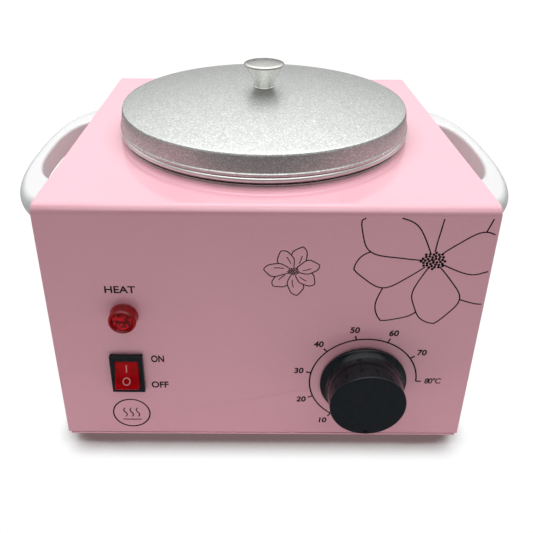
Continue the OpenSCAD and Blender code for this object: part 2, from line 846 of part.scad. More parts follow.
// Strap round the two lower runs of the coil
module cord_tie() {
    low_z = coil_z - coil_mid_r;
    reach = cord_r + 0.1;
    wall = 0.8;
    color("dimgray") difference() {
        block([-5, cord_y - reach - wall, low_z - reach - wall],
              [5, cord_y + reach + wall, low_z + coil_pitch + reach + wall]);
        block([-6, cord_y - reach, low_z - reach], [6, cord_y + reach, low_z + coil_pitch + reach]);
    }
}

// Moulded plug with a narrower neck for the cord
module plug() {
    color("black") difference() {
        union() {
            block([plug_face_x, cord_y - 4.9, plug_z - 11], [4, cord_y + 5, plug_z + 11]);
            block([3, cord_y - 4.6, plug_z - 7], [cord_end_x - 1, cord_y + 4.6, plug_z + 7]);
        }
        translate([cord_end_x - 4, cord_y, plug_z]) rotate([0, 90, 0]) cylinder(r = cord_r - 0.5, h = 10);
    }
}

module plug_pins() {
    color("gold") {
        for (s = [-1, 1])
            translate([plug_face_x - 16, cord_y - 2.4, plug_z + s * 6.3 - 0.75])
                cube([15.95, 4.8, 1.5]);
        translate([plug_face_x - 18, cord_y, plug_z]) rotate([0, 90, 0])
            cylinder(r = 2, h = 17.9, $fn = 32);
    }
}

// -------------------------------------------------------------------- nodes

outer_cover();
left_side_panel();
right_side_panel();
base_plate();
heating_well();
heater_band();
band_screw();
insulation_sleeve();
insulation_pad();
wax_pot();
lid();
lid_knob();
lid_screw();
thermostat_body();
thermostat_shaft();
thermostat_screws();
capillary_tube();
sensing_bulb();
bulb_clip();
thermal_cutout();
control_knob();
switch_housing();
rocker();
switch_terminals();
lamp_lens();
neon_bulb();
lamp_nut();
left_handle();
right_handle();
handle_screws();
handle_washers();
rubber_feet();
foot_screws();
foot_nuts();
base_screws();
terminal_block();
earth_stud();
live_wire();
switched_wire();
heater_wire();
neutral_wire();
earth_wire();
lamp_leads();
strain_relief();
strain_relief_nut();
power_cord();
cord_cores();
cord_tie();
plug();
plug_pins();
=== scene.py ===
"""Looks for the wax warmer pot: smooth pieces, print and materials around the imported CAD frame."""
import json
import math
from math import cos, pi, sin

import bmesh
import bpy
from mathutils import Matrix, Vector


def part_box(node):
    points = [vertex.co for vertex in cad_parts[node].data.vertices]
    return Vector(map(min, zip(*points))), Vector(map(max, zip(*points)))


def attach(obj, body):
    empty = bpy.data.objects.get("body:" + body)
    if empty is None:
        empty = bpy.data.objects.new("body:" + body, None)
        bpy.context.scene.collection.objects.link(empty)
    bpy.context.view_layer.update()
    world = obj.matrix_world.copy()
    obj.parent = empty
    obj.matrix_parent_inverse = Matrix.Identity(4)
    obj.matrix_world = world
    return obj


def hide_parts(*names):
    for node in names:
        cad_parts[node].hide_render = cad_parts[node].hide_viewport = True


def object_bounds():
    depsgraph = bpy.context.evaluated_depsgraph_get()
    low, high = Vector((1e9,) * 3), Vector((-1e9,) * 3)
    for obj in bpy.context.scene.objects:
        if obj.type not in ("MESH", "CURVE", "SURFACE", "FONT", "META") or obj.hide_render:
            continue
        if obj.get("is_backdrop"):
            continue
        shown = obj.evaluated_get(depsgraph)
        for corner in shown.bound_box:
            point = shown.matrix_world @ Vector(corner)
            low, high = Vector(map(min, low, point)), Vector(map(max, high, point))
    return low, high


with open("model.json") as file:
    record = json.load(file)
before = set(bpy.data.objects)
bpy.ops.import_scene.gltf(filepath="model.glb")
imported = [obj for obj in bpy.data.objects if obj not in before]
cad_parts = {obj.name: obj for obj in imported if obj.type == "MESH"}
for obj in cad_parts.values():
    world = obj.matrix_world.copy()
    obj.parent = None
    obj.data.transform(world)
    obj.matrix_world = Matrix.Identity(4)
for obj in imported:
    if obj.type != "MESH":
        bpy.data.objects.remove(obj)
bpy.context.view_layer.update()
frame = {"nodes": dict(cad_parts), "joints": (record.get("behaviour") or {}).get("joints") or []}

MM = 0.001
UP = Matrix.Identity(3)
# Turns of a lathe's own axis (+Z): out of the control panel (-Y), out of the back (+Y), across (+X)
OUT = Matrix(((1, 0, 0), (0, 0, -1), (0, 1, 0)))
BACK = Matrix(((-1, 0, 0), (0, 0, 1), (0, 1, 0)))
ACROSS = Matrix(((0, 0, 1), (0, 1, 0), (-1, 0, 0)))


def centre(node):
    low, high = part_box(node)
    return (low + high) / 2


def on_wall(node, y):
    """The point of a wall on the axis of a node that stands out of it."""
    middle = centre(node)
    return Vector((middle.x, y, middle.z))


COVER_LOW, COVER_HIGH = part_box("outer_cover")
TOP = COVER_HIGH.z
FRONT = COVER_LOW.y
REAR = COVER_HIGH.y
SIDE = COVER_HIGH.x
PANEL_LOW = COVER_LOW.z


# ---- node material tools


class Graph:
    """A node tree and short ways to add nodes and links to it."""

    def __init__(self, tree):
        self.tree = tree

    def node(self, kind, settings=None, **inputs):
        made = self.tree.nodes.new(kind)
        for key, value in (settings or {}).items():
            setattr(made, key, value)
        for key, value in inputs.items():
            made.inputs[key.replace("_", " ")].default_value = value
        return made

    def link(self, output, target):
        self.tree.links.new(output, target)

    def feed(self, sockets, values):
        """Gives each socket its value: a link for an output, else a default."""
        for socket, value in zip(sockets, values):
            if isinstance(value, bpy.types.NodeSocket):
                self.link(value, socket)
            else:
                socket.default_value = value

    def math(self, operation, *values):
        made = self.node("ShaderNodeMath", {"operation": operation})
        self.feed(made.inputs, values)
        return made.outputs[0]

    def vector_math(self, operation, *values):
        made = self.node("ShaderNodeVectorMath", {"operation": operation})
        self.feed(made.inputs, values)
        return made.outputs

    def split(self, vector):
        made = self.node("ShaderNodeSeparateXYZ")
        self.link(vector, made.inputs[0])
        return made.outputs

    def remap(self, value, low, high, start=0.3, end=0.7, curve="LINEAR"):
        made = self.node("ShaderNodeMapRange", {"interpolation_type": curve},
                         From_Min=start, From_Max=end, To_Min=low, To_Max=high)
        self.link(value, made.inputs["Value"])
        return made.outputs["Result"]

    def mix_color(self, factor, one, two):
        made = self.node("ShaderNodeMix", {"data_type": "RGBA"})
        self.feed((made.inputs[0], *made.inputs[6:8]), (factor, one, two))
        return made.outputs[2]

    def mix_shader(self, factor, one, two):
        made = self.node("ShaderNodeMixShader")
        self.feed(made.inputs, (factor, one.outputs[0], two.outputs[0]))
        return made


class Look(Graph):
    """One procedural material: a principled shader and a few ways to add detail to it."""

    def __init__(self, name, color, roughness=0.4, metallic=0.0, **extra):
        self.mat = bpy.data.materials.new(name)
        self.mat.use_nodes = True
        self.mat.diffuse_color = (*color, 1.0)
        super().__init__(self.mat.node_tree)
        self.shader = self.tree.nodes["Principled BSDF"]
        self.coords = self.node("ShaderNodeTexCoord").outputs["Object"]
        self.height = None
        self.set(Base_Color=(*color, 1.0), Roughness=roughness, Metallic=metallic, **extra)

    def set(self, **inputs):
        for key, value in inputs.items():
            self.shader.inputs[key.replace("_", " ")].default_value = value

    def stretched(self, scale):
        """Object coordinates scaled on each axis, for grain that runs one way."""
        mapping = self.node("ShaderNodeMapping", Scale=scale)
        self.link(self.coords, mapping.inputs["Vector"])
        return mapping.outputs["Vector"]

    def around(self):
        """Coordinates (0, distance from the pot's axis, height), for grain turned on a lathe."""
        x, y, z = self.split(self.coords)
        flat = self.node("ShaderNodeCombineXYZ")
        self.feed(flat.inputs, (x, y))
        ring = self.node("ShaderNodeCombineXYZ")
        self.feed(ring.inputs, (0.0, self.vector_math("LENGTH", flat.outputs[0])["Value"], z))
        return ring.outputs[0]

    def noise(self, scale, detail=2.0, roughness=0.5, vector=None):
        made = self.node("ShaderNodeTexNoise", Scale=scale, Detail=detail, Roughness=roughness)
        self.link(vector or self.coords, made.inputs["Vector"])
        return made.outputs["Fac"]

    def cells(self, scale):
        made = self.node("ShaderNodeTexVoronoi", Scale=scale)
        self.link(self.coords, made.inputs["Vector"])
        split = self.node("ShaderNodeSeparateColor")
        self.link(made.outputs["Color"], split.inputs[0])
        return split.outputs[0]

    def rough(self, value, low, high, *band):
        """Varies the roughness with a texture."""
        self.link(self.remap(value, low, high, *band), self.shader.inputs["Roughness"])
        return self

    def tint(self, value, other, start=0.3, end=0.7, amount=1.0):
        """Mixes the colour so far with another one where the texture is high."""
        target = self.shader.inputs["Base Color"]
        before = target.links[0].from_socket if target.is_linked else target.default_value
        factor = self.remap(value, 0.0, amount, start, end)
        self.link(self.mix_color(factor, before, (*other, 1.0)), target)
        return self

    def bump(self, value, strength, depth):
        """Adds a layer of relief; depth is in millimetres."""
        made = self.node("ShaderNodeBump", Strength=strength, Distance=depth * MM)
        self.link(value, made.inputs["Height"])
        if self.height:
            self.link(self.height, made.inputs["Normal"])
        self.height = made.outputs["Normal"]
        self.link(self.height, self.shader.inputs["Normal"])
        return self

    def worn_edges(self, color, amount=0.5, radius=0.4 * MM):
        """Lightens the sharp edges, where handling rubs them."""
        bevel = self.node("ShaderNodeBevel", {"samples": 4}, Radius=radius)
        normal = self.node("ShaderNodeNewGeometry").outputs["Normal"]
        match = self.vector_math("DOT_PRODUCT", bevel.outputs[0], normal)["Value"]
        patchy = self.math("MULTIPLY_ADD", self.noise(160.0, 3.0), 0.12, match)
        return self.tint(patchy, color, start=1.03, end=0.93, amount=amount)


def pink_enamel():
    look = Look("pink_enamel", (0.80, 0.40, 0.475), 0.2, Coat_Weight=0.9, Coat_Roughness=0.045)
    look.tint(look.noise(14.0, 3.0), (0.77, 0.38, 0.455))
    look.tint(look.cells(2600.0), (0.86, 0.47, 0.55), start=0.80, end=1.0, amount=0.25)
    look.rough(look.noise(55.0, 4.0), 0.17, 0.25)
    look.bump(look.noise(620.0, 1.0), 0.10, 0.05)
    look.bump(look.noise(70.0, 1.0), 0.08, 0.12)
    return look.worn_edges((0.93, 0.62, 0.68), 0.45)


def blasted_aluminium():
    look = Look("blasted_aluminium", (0.465, 0.475, 0.465), 0.4, 1.0)
    grain = look.noise(1500.0, 2.0, 0.65)
    look.tint(look.cells(2300.0), (0.78, 0.79, 0.78), start=0.5, end=1.0, amount=0.8)
    look.tint(look.cells(2000.0), (0.34, 0.35, 0.34), start=0.5, end=1.0, amount=0.6)
    look.rough(grain, 0.32, 0.50)
    look.bump(grain, 0.35, 0.12)
    look.bump(look.noise(24.0, 2.0), 0.05, 0.3)
    return look.worn_edges((0.95, 0.95, 0.95), 0.7, 0.5 * MM)


def turned_aluminium():
    look = Look("turned_aluminium", (0.70, 0.70, 0.685), 0.3, 1.0)
    rings = look.around()
    fine = look.noise(5200.0, 2.0, 0.6, rings)
    look.tint(look.noise(60.0, 3.0), (0.60, 0.60, 0.585))
    look.rough(look.noise(1400.0, 2.0, 0.5, rings), 0.22, 0.40)
    look.bump(fine, 0.35, 0.03)
    return look.worn_edges((0.93, 0.93, 0.92), 0.6)


def polished_steel():
    look = Look("polished_steel", (0.60, 0.60, 0.575), 0.07, 1.0)
    rings = look.around()
    look.rough(look.noise(900.0, 3.0, 0.6), 0.05, 0.13)
    look.bump(look.noise(2400.0, 1.0, 0.5, rings), 0.06, 0.02)
    return look.tint(look.noise(220.0, 2.0), (0.54, 0.54, 0.515), amount=0.5)


def brushed_steel(name="brushed_steel", color=(0.56, 0.56, 0.54)):
    look = Look(name, color, 0.3, 1.0)
    grain = look.noise(300.0, 3.0, 0.6, look.stretched((1.0, 1.0, 9.0)))
    look.tint(look.noise(90.0, 3.0), tuple(0.8 * c for c in color))
    look.rough(grain, 0.2, 0.42)
    look.bump(grain, 0.2, 0.04)
    return look.worn_edges(tuple(min(1.0, 1.4 * c) for c in color), 0.6)


def black_plastic():
    look = Look("black_plastic", (0.004, 0.0068, 0.0088), 0.08, Specular_IOR_Level=0.24)
    look.tint(look.noise(420.0, 4.0), (0.0065, 0.0095, 0.012))
    look.tint(look.cells(2600.0), (0.03, 0.032, 0.034), start=0.97, end=1.0, amount=0.4)
    look.rough(look.noise(130.0, 4.0), 0.05, 0.11)
    look.bump(look.noise(900.0, 2.0), 0.03, 0.04)
    return look.worn_edges((0.06, 0.06, 0.065), 0.6, 0.3 * MM)


def white_plastic():
    look = Look("white_plastic", (0.62, 0.63, 0.63), 0.2, Coat_Weight=0.3, Coat_Roughness=0.06)
    look.set(Subsurface_Weight=0.12, Subsurface_Radius=(0.004, 0.004, 0.004))
    look.tint(look.noise(30.0, 3.0), (0.59, 0.60, 0.60))
    look.rough(look.noise(120.0, 3.0), 0.16, 0.26)
    look.bump(look.noise(700.0, 2.0), 0.06, 0.05)
    return look.worn_edges((0.70, 0.70, 0.69), 0.4)


def red_rocker_plastic():
    look = Look("red_rocker_plastic", (0.42, 0.002, 0.006), 0.16, Specular_IOR_Level=0.08)
    look.set(Subsurface_Weight=0.2, Subsurface_Radius=(0.004, 0.001, 0.001), Transmission_Weight=0.1)
    # The faint red emission is painted glow: no lamp sits in the rocker.
    look.set(Emission_Color=(1.0, 0.01, 0.01, 1.0), Emission_Strength=0.05)
    look.tint(look.noise(260.0, 3.0), (0.26, 0.001, 0.004))
    look.rough(look.noise(300.0, 3.0), 0.1, 0.2)
    return look.bump(look.noise(800.0, 1.0), 0.05, 0.05)


def red_lens_plastic():
    look = Look("red_lens_plastic", (0.33, 0.001, 0.003), 0.06, IOR=1.49, Specular_IOR_Level=0.35)
    look.set(Emission_Color=(1.0, 0.01, 0.02, 1.0), Emission_Strength=0.015)
    look.tint(look.noise(500.0, 2.0), (0.22, 0.001, 0.003))
    look.rough(look.noise(400.0, 3.0), 0.04, 0.10)
    return look.bump(look.noise(600.0, 2.0), 0.08, 0.05)


def red_jewel_plastic():
    look = Look("red_jewel_plastic", (0.10, 0.0, 0.001), 0.05, IOR=1.49, Specular_IOR_Level=0.3)
    # Each cell gets a random brighter red: painted glints in the jewel's facets.
    look.tint(look.cells(760.0), (0.75, 0.01, 0.02), start=0.15, end=0.95)
    look.tint(look.noise(1500.0, 2.0), (0.03, 0.0, 0.0), start=0.5, end=0.75, amount=0.8)
    look.set(Emission_Color=(1.0, 0.01, 0.02, 1.0), Emission_Strength=0.02)
    look.rough(look.noise(400.0, 3.0), 0.03, 0.09)
    return look.bump(look.cells(760.0), 0.5, 0.12)


def glowing_glass():
    look = Look("glowing_glass", (1.0, 0.5, 0.3), 0.05, IOR=1.5)
    look.set(Emission_Color=(1.0, 0.12, 0.04, 1.0), Emission_Strength=0.25, Transmission_Weight=0.7)
    return look.bump(look.noise(800.0, 2.0), 0.1, 0.05)


def print_ink_and_shade():
    look = Look("print_ink_and_shade", (0.006, 0.005, 0.007), 0.4, Specular_IOR_Level=0.08)
    look.tint(look.noise(1900.0, 4.0), (0.022, 0.017, 0.02))
    return look.rough(look.noise(900.0, 2.0), 0.28, 0.45)


def mark_ink():
    look = Look("mark_ink", (0.86, 0.42, 0.42), 0.3)
    look.tint(look.noise(1600.0, 3.0), (0.74, 0.30, 0.31))
    return look.rough(look.noise(900.0, 2.0), 0.25, 0.4)


def rubber(name, color, roughness=0.6):
    look = Look(name, color, roughness)
    look.tint(look.noise(240.0, 4.0), tuple(1.7 * c for c in color))
    look.tint(look.cells(1700.0), (0.12, 0.115, 0.11), start=0.97, end=1.0, amount=0.4)
    look.rough(look.noise(300.0, 3.0), roughness - 0.1, roughness + 0.12)
    return look.bump(look.noise(1300.0, 3.0), 0.3, 0.06)


def sheath(name, color):
    look = Look(name, color, 0.4)
    look.tint(look.noise(300.0, 2.0), tuple(0.7 * c for c in color))
    look.rough(look.noise(500.0, 2.0), 0.32, 0.5)
    return look.bump(look.noise(700.0, 2.0), 0.1, 0.05).mat


def ceramic_fibre():
    look = Look("ceramic_fibre", (0.80, 0.77, 0.70), 0.95)
    strands = look.noise(900.0, 5.0, 0.75, look.stretched((1.0, 1.0, 3.0)))
    look.tint(strands, (0.62, 0.58, 0.50))
    look.set(Sheen_Weight=0.4)
    return look.bump(strands, 0.9, 0.5)


def moulded(name, color, roughness=0.55):
    look = Look(name, color, roughness)
    look.tint(look.noise(500.0, 5.0, 0.7), tuple(0.72 * c for c in color))
    look.rough(look.noise(300.0, 2.0), roughness - 0.08, roughness + 0.08)
    return look.bump(look.noise(1000.0, 2.0), 0.15, 0.06)


def mica():
    look = Look("mica", (0.46, 0.37, 0.22), 0.42)
    flakes = look.cells(500.0)
    look.tint(flakes, (0.66, 0.56, 0.36))
    look.rough(flakes, 0.25, 0.6, 0.0, 1.0)
    return look.bump(look.noise(240.0, 3.0), 0.2, 0.08)


def floor_paint():
    """Pale table: white with a soft contact shadow to the eye, mid grey to everything else."""
    look = Look("floor_paint", (0.62, 0.61, 0.61), 0.9)
    look.tint(look.noise(3.0, 2.0), (0.60, 0.59, 0.59))
    look.set(Emission_Color=(1.0, 0.99, 0.99, 1.0), Emission_Strength=0.16)
    look.bump(look.noise(400.0, 2.0), 0.05, 0.05)
    near = look.node("ShaderNodeAmbientOcclusion", {"samples": 16}, Distance=0.015)
    fade = look.remap(near.outputs["AO"], 0.0, 1.0, 0.50, 0.90)
    tone = look.mix_color(fade, (0.18, 0.12, 0.125, 1.0), (1.03, 1.03, 1.03, 1.0))
    white = look.node("ShaderNodeEmission")
    look.link(tone, white.inputs["Color"])
    ray = look.node("ShaderNodeLightPath").outputs
    away = look.split(look.around())["Y"]
    glow = look.node("ShaderNodeEmission")
    bounce = look.math("MULTIPLY", look.remap(away, 0.66, 0.0, 0.11, 0.28), ray["Is Diffuse Ray"])
    look.link(bounce, glow.inputs["Strength"])
    dark = look.node("ShaderNodeEmission", Color=(0.07, 0.066, 0.067, 1.0))
    dim = look.mix_shader(look.remap(ray["Is Glossy Ray"], 0.0, 0.7, 0.0, 1.0), look.shader, dark)
    both = look.node("ShaderNodeAddShader")
    look.feed(both.inputs, (dim.outputs[0], glow.outputs[0]))
    seen = look.mix_shader(ray["Is Camera Ray"], both, white)
    look.link(seen.outputs[0], look.tree.nodes["Material Output"].inputs["Surface"])
    return look


ENAMEL = pink_enamel().mat
BLASTED = blasted_aluminium().mat
TURNED = turned_aluminium().mat
POLISHED = polished_steel().mat
STEEL = brushed_steel().mat
ZINC = brushed_steel("zinc_steel", (0.68, 0.68, 0.65)).mat
# A darker copy of the brushed metal for the finial's crown: painted shade on its top face.
SHADED_CROWN = brushed_steel("brushed_shaded_crown", (0.40, 0.40, 0.385)).mat
BRASS = brushed_steel("brass", (0.72, 0.50, 0.20)).mat
COPPER = brushed_steel("copper", (0.68, 0.32, 0.18)).mat
BLACK = black_plastic().mat
WHITE = white_plastic().mat
ROCKER_RED = red_rocker_plastic().mat
LENS_RED = red_lens_plastic().mat
JEWEL_RED = red_jewel_plastic().mat
GLOW = glowing_glass().mat
# Ink for the panel print, also laid in the knob's dimple as painted shade.
INK_AND_SHADE = print_ink_and_shade().mat
MARK = mark_ink().mat
FOOT = rubber("foot_rubber", (0.02, 0.02, 0.021)).mat
CORD = rubber("cord_rubber", (0.012, 0.012, 0.013), 0.45).mat
FIBRE = ceramic_fibre().mat
PHENOLIC = moulded("phenolic", (0.10, 0.05, 0.03)).mat
CERAMIC = moulded("ceramic", (0.80, 0.75, 0.64), 0.4).mat
MICA = mica().mat

NODE_LOOKS = {
    ENAMEL: ["outer_cover", "left_side_panel", "right_side_panel", "base_plate"],
    STEEL: ["heating_well", "bulb_clip"],
    TURNED: ["wax_pot"],
    BLASTED: ["lid"],
    POLISHED: ["lid_knob"],
    ZINC: ["band_screw", "lid_screw", "thermostat_shaft", "thermostat_screws", "handle_screws",
           "handle_washers", "foot_screws", "foot_nuts", "base_screws"],
    MICA: ["heater_band"],
    FIBRE: ["insulation_sleeve", "insulation_pad"],
    PHENOLIC: ["thermostat_body", "thermal_cutout"],
    COPPER: ["capillary_tube", "sensing_bulb"],
    BRASS: ["switch_terminals", "earth_stud", "plug_pins"],
    CERAMIC: ["terminal_block"],
    BLACK: ["control_knob", "switch_housing", "lamp_nut", "strain_relief", "strain_relief_nut"],
    WHITE: ["left_handle", "right_handle"],
    ROCKER_RED: ["rocker"],
    LENS_RED: ["lamp_lens"],
    GLOW: ["neon_bulb"],
    FOOT: ["rubber_feet"],
    CORD: ["power_cord", "plug", "cord_tie"],
    sheath("sheath_brown", (0.16, 0.05, 0.02)): ["live_wire", "cord_cores"],
    sheath("sheath_black", (0.01, 0.01, 0.01)): ["switched_wire"],
    sheath("sheath_red", (0.45, 0.02, 0.015)): ["heater_wire"],
    sheath("sheath_blue", (0.02, 0.08, 0.40)): ["neutral_wire", "lamp_leads"],
    sheath("sheath_green", (0.12, 0.36, 0.05)): ["earth_wire"],
}
for look_material, names in NODE_LOOKS.items():
    for name in names:
        slots = frame["nodes"][name].data.materials
        slots.clear()
        slots.append(look_material)


# ---- mesh tools


def show(obj):
    bpy.context.scene.collection.objects.link(obj)
    return obj


def finish_piece(name, bm, body, material, sharp=38.0, node=None):
    """Turns a bmesh into a smooth-shaded piece that rides on a body, in place of a CAD node if named."""
    bmesh.ops.recalc_face_normals(bm, faces=bm.faces)
    mesh = bpy.data.meshes.new(name)
    bm.to_mesh(mesh)
    bm.free()
    mesh.shade_smooth()
    mesh.set_sharp_from_angle(angle=math.radians(sharp))
    mesh.materials.append(material)
    piece = show(bpy.data.objects.new(name, mesh))
    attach(piece, body)
    if node:
        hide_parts(node)
    return piece


def apply_modifiers(obj):
    """Replaces the mesh by its evaluated form and clears the modifiers."""
    graph = bpy.context.evaluated_depsgraph_get()
    mesh = bpy.data.meshes.new_from_object(obj.evaluated_get(graph))
    obj.modifiers.clear()
    obj.data = mesh


def soften(obj, width, segments=3, angle=40.0):
    """Rounds a piece's hard edges, so that they catch the light."""
    weld = obj.modifiers.new("weld", "WELD")
    weld.merge_threshold = 0.002 * MM
    bevel = obj.modifiers.new("soft_edges", "BEVEL")
    bevel.width = width
    bevel.segments = segments
    bevel.limit_method = "ANGLE"
    bevel.angle_limit = math.radians(angle)
    bevel.harden_normals = True
    return obj


def fillet(corners, steps=6):
    """Points along (a, b, radius) corners, with an arc of that radius at each."""
    points = []
    for i, (a, b, radius) in enumerate(corners):
        if radius == 0 or i in (0, len(corners) - 1):
            points.append((a, b))
            continue
        here = Vector((a, b))
        back = (Vector(corners[i - 1][:2]) - here).normalized()
        on = (Vector(corners[i + 1][:2]) - here).normalized()
        half = back.angle(on) / 2
        reach = radius / math.tan(half)
        middle = here + (back + on).normalized() * radius / sin(half)
        start = here + back * reach - middle
        end = here + on * reach - middle
        turn = start.angle_signed(end)
        for k in range(steps + 1):
            spoke = start.copy()
            spoke.rotate(Matrix.Rotation(-turn * k / steps, 2))
            points.append(tuple(middle + spoke))
    return points


def lathe(bm, profile, origin, axes=UP, segments=160, closed=False):
    """Turns (radius, height) points, in millimetres, about a line through origin."""
    rings = []
    for radius, height in profile:
        if radius < 1e-6:
            rings.append([bm.verts.new(origin + axes @ Vector((0, 0, height * MM)))])
            continue
        ring = []
        for k in range(segments):
            a = 2 * pi * k / segments
            spot = Vector((radius * cos(a), radius * sin(a), height)) * MM
            ring.append(bm.verts.new(origin + axes @ spot))
        rings.append(ring)
    bridge(bm, rings, closed)


def bridge(bm, rings, closed=False):
    """Faces between each ring of vertices and the next. A ring may be a single point."""
    for low, high in zip(rings, rings[1:] + rings[:1] if closed else rings[1:]):
        count = max(len(low), len(high))
        for k in range(count):
            n = (k + 1) % count
            if len(low) == 1:
                bm.faces.new((low[0], high[k], high[n]))
            elif len(high) == 1:
                bm.faces.new((low[k], low[n], high[0]))
            else:
                bm.faces.new((low[k], low[n], high[n], high[k]))


def loft(bm, rings):
    """A closed solid through rings of vertices, with flat ends."""
    bridge(bm, rings)
    bm.faces.new(rings[0][::-1])
    bm.faces.new(rings[-1])


def prism(bm, outline, lift, top):
    """A closed solid between two copies of an outline, each moved by a vector."""
    loft(bm, [[bm.verts.new(p + move) for p in outline] for move in (lift, top)])


def arc(cx, cy, radius, start, end, steps):
    """Points of an arc, with its angles in degrees."""
    for k in range(steps + 1):
        a = math.radians(start + (end - start) * k / steps)
        yield cx + radius * cos(a), cy + radius * sin(a)


def tube(name, points, radius, body, material, node):
    """A smooth round cable through points, in metres."""
    curve = bpy.data.curves.new(name, "CURVE")
    curve.dimensions = "3D"
    curve.bevel_depth = radius
    curve.bevel_resolution = 6
    curve.use_fill_caps = True
    spline = curve.splines.new("POLY")
    spline.points.add(len(points) - 1)
    for point, place in zip(spline.points, points):
        point.co = (*place, 1.0)
    made = bpy.data.objects.new(name, curve)
    mesh = bpy.data.meshes.new_from_object(made)
    bpy.data.objects.remove(made)
    bm = bmesh.new()
    bm.from_mesh(mesh)
    bmesh.ops.remove_doubles(bm, verts=bm.verts, dist=0.001 * MM)
    return finish_piece(name, bm, body, material, 60.0, node)


# ---- case


def bow(root, wall, out, half, steps=30, power=2.45):
    """Plan outline, in millimetres, of a loop that stands out from the wall by out."""
    points = [(root, -half)]
    for i in range(-steps, steps + 1):
        t = pi / 2 * i / steps
        reach = out * abs(cos(t)) ** (2 / power)
        along = half * abs(sin(t)) ** (2 / power)
        points.append((wall + reach, math.copysign(along, i)))
    return points + [(root, half)]


def handle(name, node, side):
    """A moulded loop handle: full round outside, flatter inside, widening into two legs."""
    low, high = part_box(node)
    wall, half = SIDE / MM, high.y / MM
    near, far = sorted((abs(low.x), abs(high.x)))
    root, out = near / MM, far / MM - wall
    grip, leg, power = 7.8, 24.0, 1.8
    under_inset, over_inset = 5.2, 4.0
    under_round, over_round = 1.3, 1.8
    floor, top = low.z / MM, high.z / MM
    widest = floor + 0.585 * (top - floor)
    rails = []

    def outer_rail(t, inset, edge):
        inset *= 1 - (1 - t ** power) ** (1 / power)
        rails.append((bow(root, wall, out - inset, half - inset), widest + t * (edge - widest)))

    def inner_rail(a, radius, edge, way):
        back = radius * (1 - sin(a))
        height = edge + way * radius * (1 - cos(a))
        rails.append((bow(root, wall, out - grip + back, half - leg + back), height))

    spread = [sin(pi / 2 * k / 10) for k in range(11)]
    rim = [pi / 2 * k / 6 for k in range(7)]
    for t in spread[::-1]:
        outer_rail(t, under_inset, floor)
    for t in spread[1:]:
        outer_rail(t, over_inset, top)
    for a in rim:
        inner_rail(a, over_round, top, -1)
    for a in rim[::-1]:
        inner_rail(a, under_round, floor, 1)
    bm = bmesh.new()
    rows = [[bm.verts.new(Vector((side * x, y, z)) * MM) for x, y in outline] for outline, z in rails]
    for one, two in zip(rows, rows[1:] + rows[:1]):
        for i in range(len(one) - 1):
            bm.faces.new((one[i], one[i + 1], two[i + 1], two[i]))
    for i in (0, -1):
        bm.faces.new([row[i] for row in rows])
    finish_piece(name, bm, "case", WHITE, 50.0, node)


handle("left_loop_handle", "left_handle", -1)
handle("right_loop_handle", "right_handle", 1)

for name in ("outer_cover", "left_side_panel", "right_side_panel", "base_plate"):
    soften(frame["nodes"][name], 0.22 * MM, 2, 50.0)
soften(frame["nodes"]["switch_housing"], 0.45 * MM, 3, 50.0)


def rubber_feet():
    """Four round feet with a recess for the screw and a fine ring in the sole."""
    low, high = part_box("rubber_feet")
    tall = (high.z - low.z) / MM
    wide = 9.0
    hole, recess, recess_deep = 1.95, 4.05, 3.5
    profile = fillet([
        (recess, 0.0, 0.0), (wide - 3.4, 0.0, 0.2), (wide - 3.1, 0.35, 0.1), (wide - 2.7, 0.35, 0.1),
        (wide - 2.4, 0.0, 0.2), (wide - 1.4, 0.0, 0.5), (wide - 0.9, 0.8, 0.5), (wide, tall, 0.4),
        (hole, tall, 0.0), (hole, recess_deep, 0.0), (recess, recess_deep, 0.0), (recess, 0.02, 0.0),
    ], 4)
    bm = bmesh.new()
    for x in (low.x + wide * MM, high.x - wide * MM):
        for y in (low.y + wide * MM, high.y - wide * MM):
            lathe(bm, profile, Vector((x, y, low.z)), segments=72, closed=True)
    finish_piece("foot_pads", bm, "case", FOOT, node="rubber_feet")


rubber_feet()


# ---- lid and pot


def dome(edge_r, edge_h, crown_h, steps=40):
    """Points of a shallow dome from its crown out to its edge."""
    rise = crown_h - edge_h
    radius = (edge_r ** 2 + rise ** 2) / (2 * rise)
    spread = math.asin(edge_r / radius)
    for k in range(steps + 1):
        a = spread * k / steps
        yield radius * sin(a), crown_h - radius * (1 - cos(a))


def lid_section(inset):
    """Corners of the lid's outer or inner surface, above the top of the case."""
    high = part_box("lid")[1]
    rim = high.x / MM
    crown = (high.z - TOP) / MM
    edge = rim - 1.3
    edge_h = crown - 6.95
    base = 5.0
    top = [(r, h, 0.0) for r, h in dome(edge - 1.35 - inset, edge_h + 0.25 - inset, crown - inset)]
    side = [
        (edge - 0.35 - inset, edge_h - 0.05 - inset, 0.35),
        (edge - inset, edge_h - 0.9 - inset, 0.5),
        (rim - 0.45 - inset, base + 1.5, 0.6),
        (rim - inset, base + 0.95, 0.3),
        (rim - inset, base, 0.25),
    ]
    return top + side


def lid_shell():
    """Spun lid: domed top, flared skirt with a rolled lower edge and a lip that drops into the pot."""
    wall = 1.15
    outer = fillet(lid_section(0.0), 5)
    inner = fillet(lid_section(wall), 3)
    bm = bmesh.new()
    origin = Vector((0, 0, TOP))
    lathe(bm, outer + inner[::-1], origin, segments=256)
    low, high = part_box("lid")
    bottom = (low.z - TOP) / MM
    lip_r = 69.0
    lip_top = (high.z - TOP) / MM - 7.6
    lip = fillet([
        (lip_r - 1, bottom, 0.0), (lip_r, bottom, 0.3), (lip_r, lip_top, 0.0), (lip_r - 1, lip_top, 0.0),
        (lip_r - 1, bottom + 0.02, 0.0),
    ], 3)
    lathe(bm, lip, origin, segments=192, closed=True)
    bmesh.ops.remove_doubles(bm, verts=bm.verts, dist=0.0005 * MM)
    finish_piece("lid_shell", bm, "lid", BLASTED, 50.0, "lid")


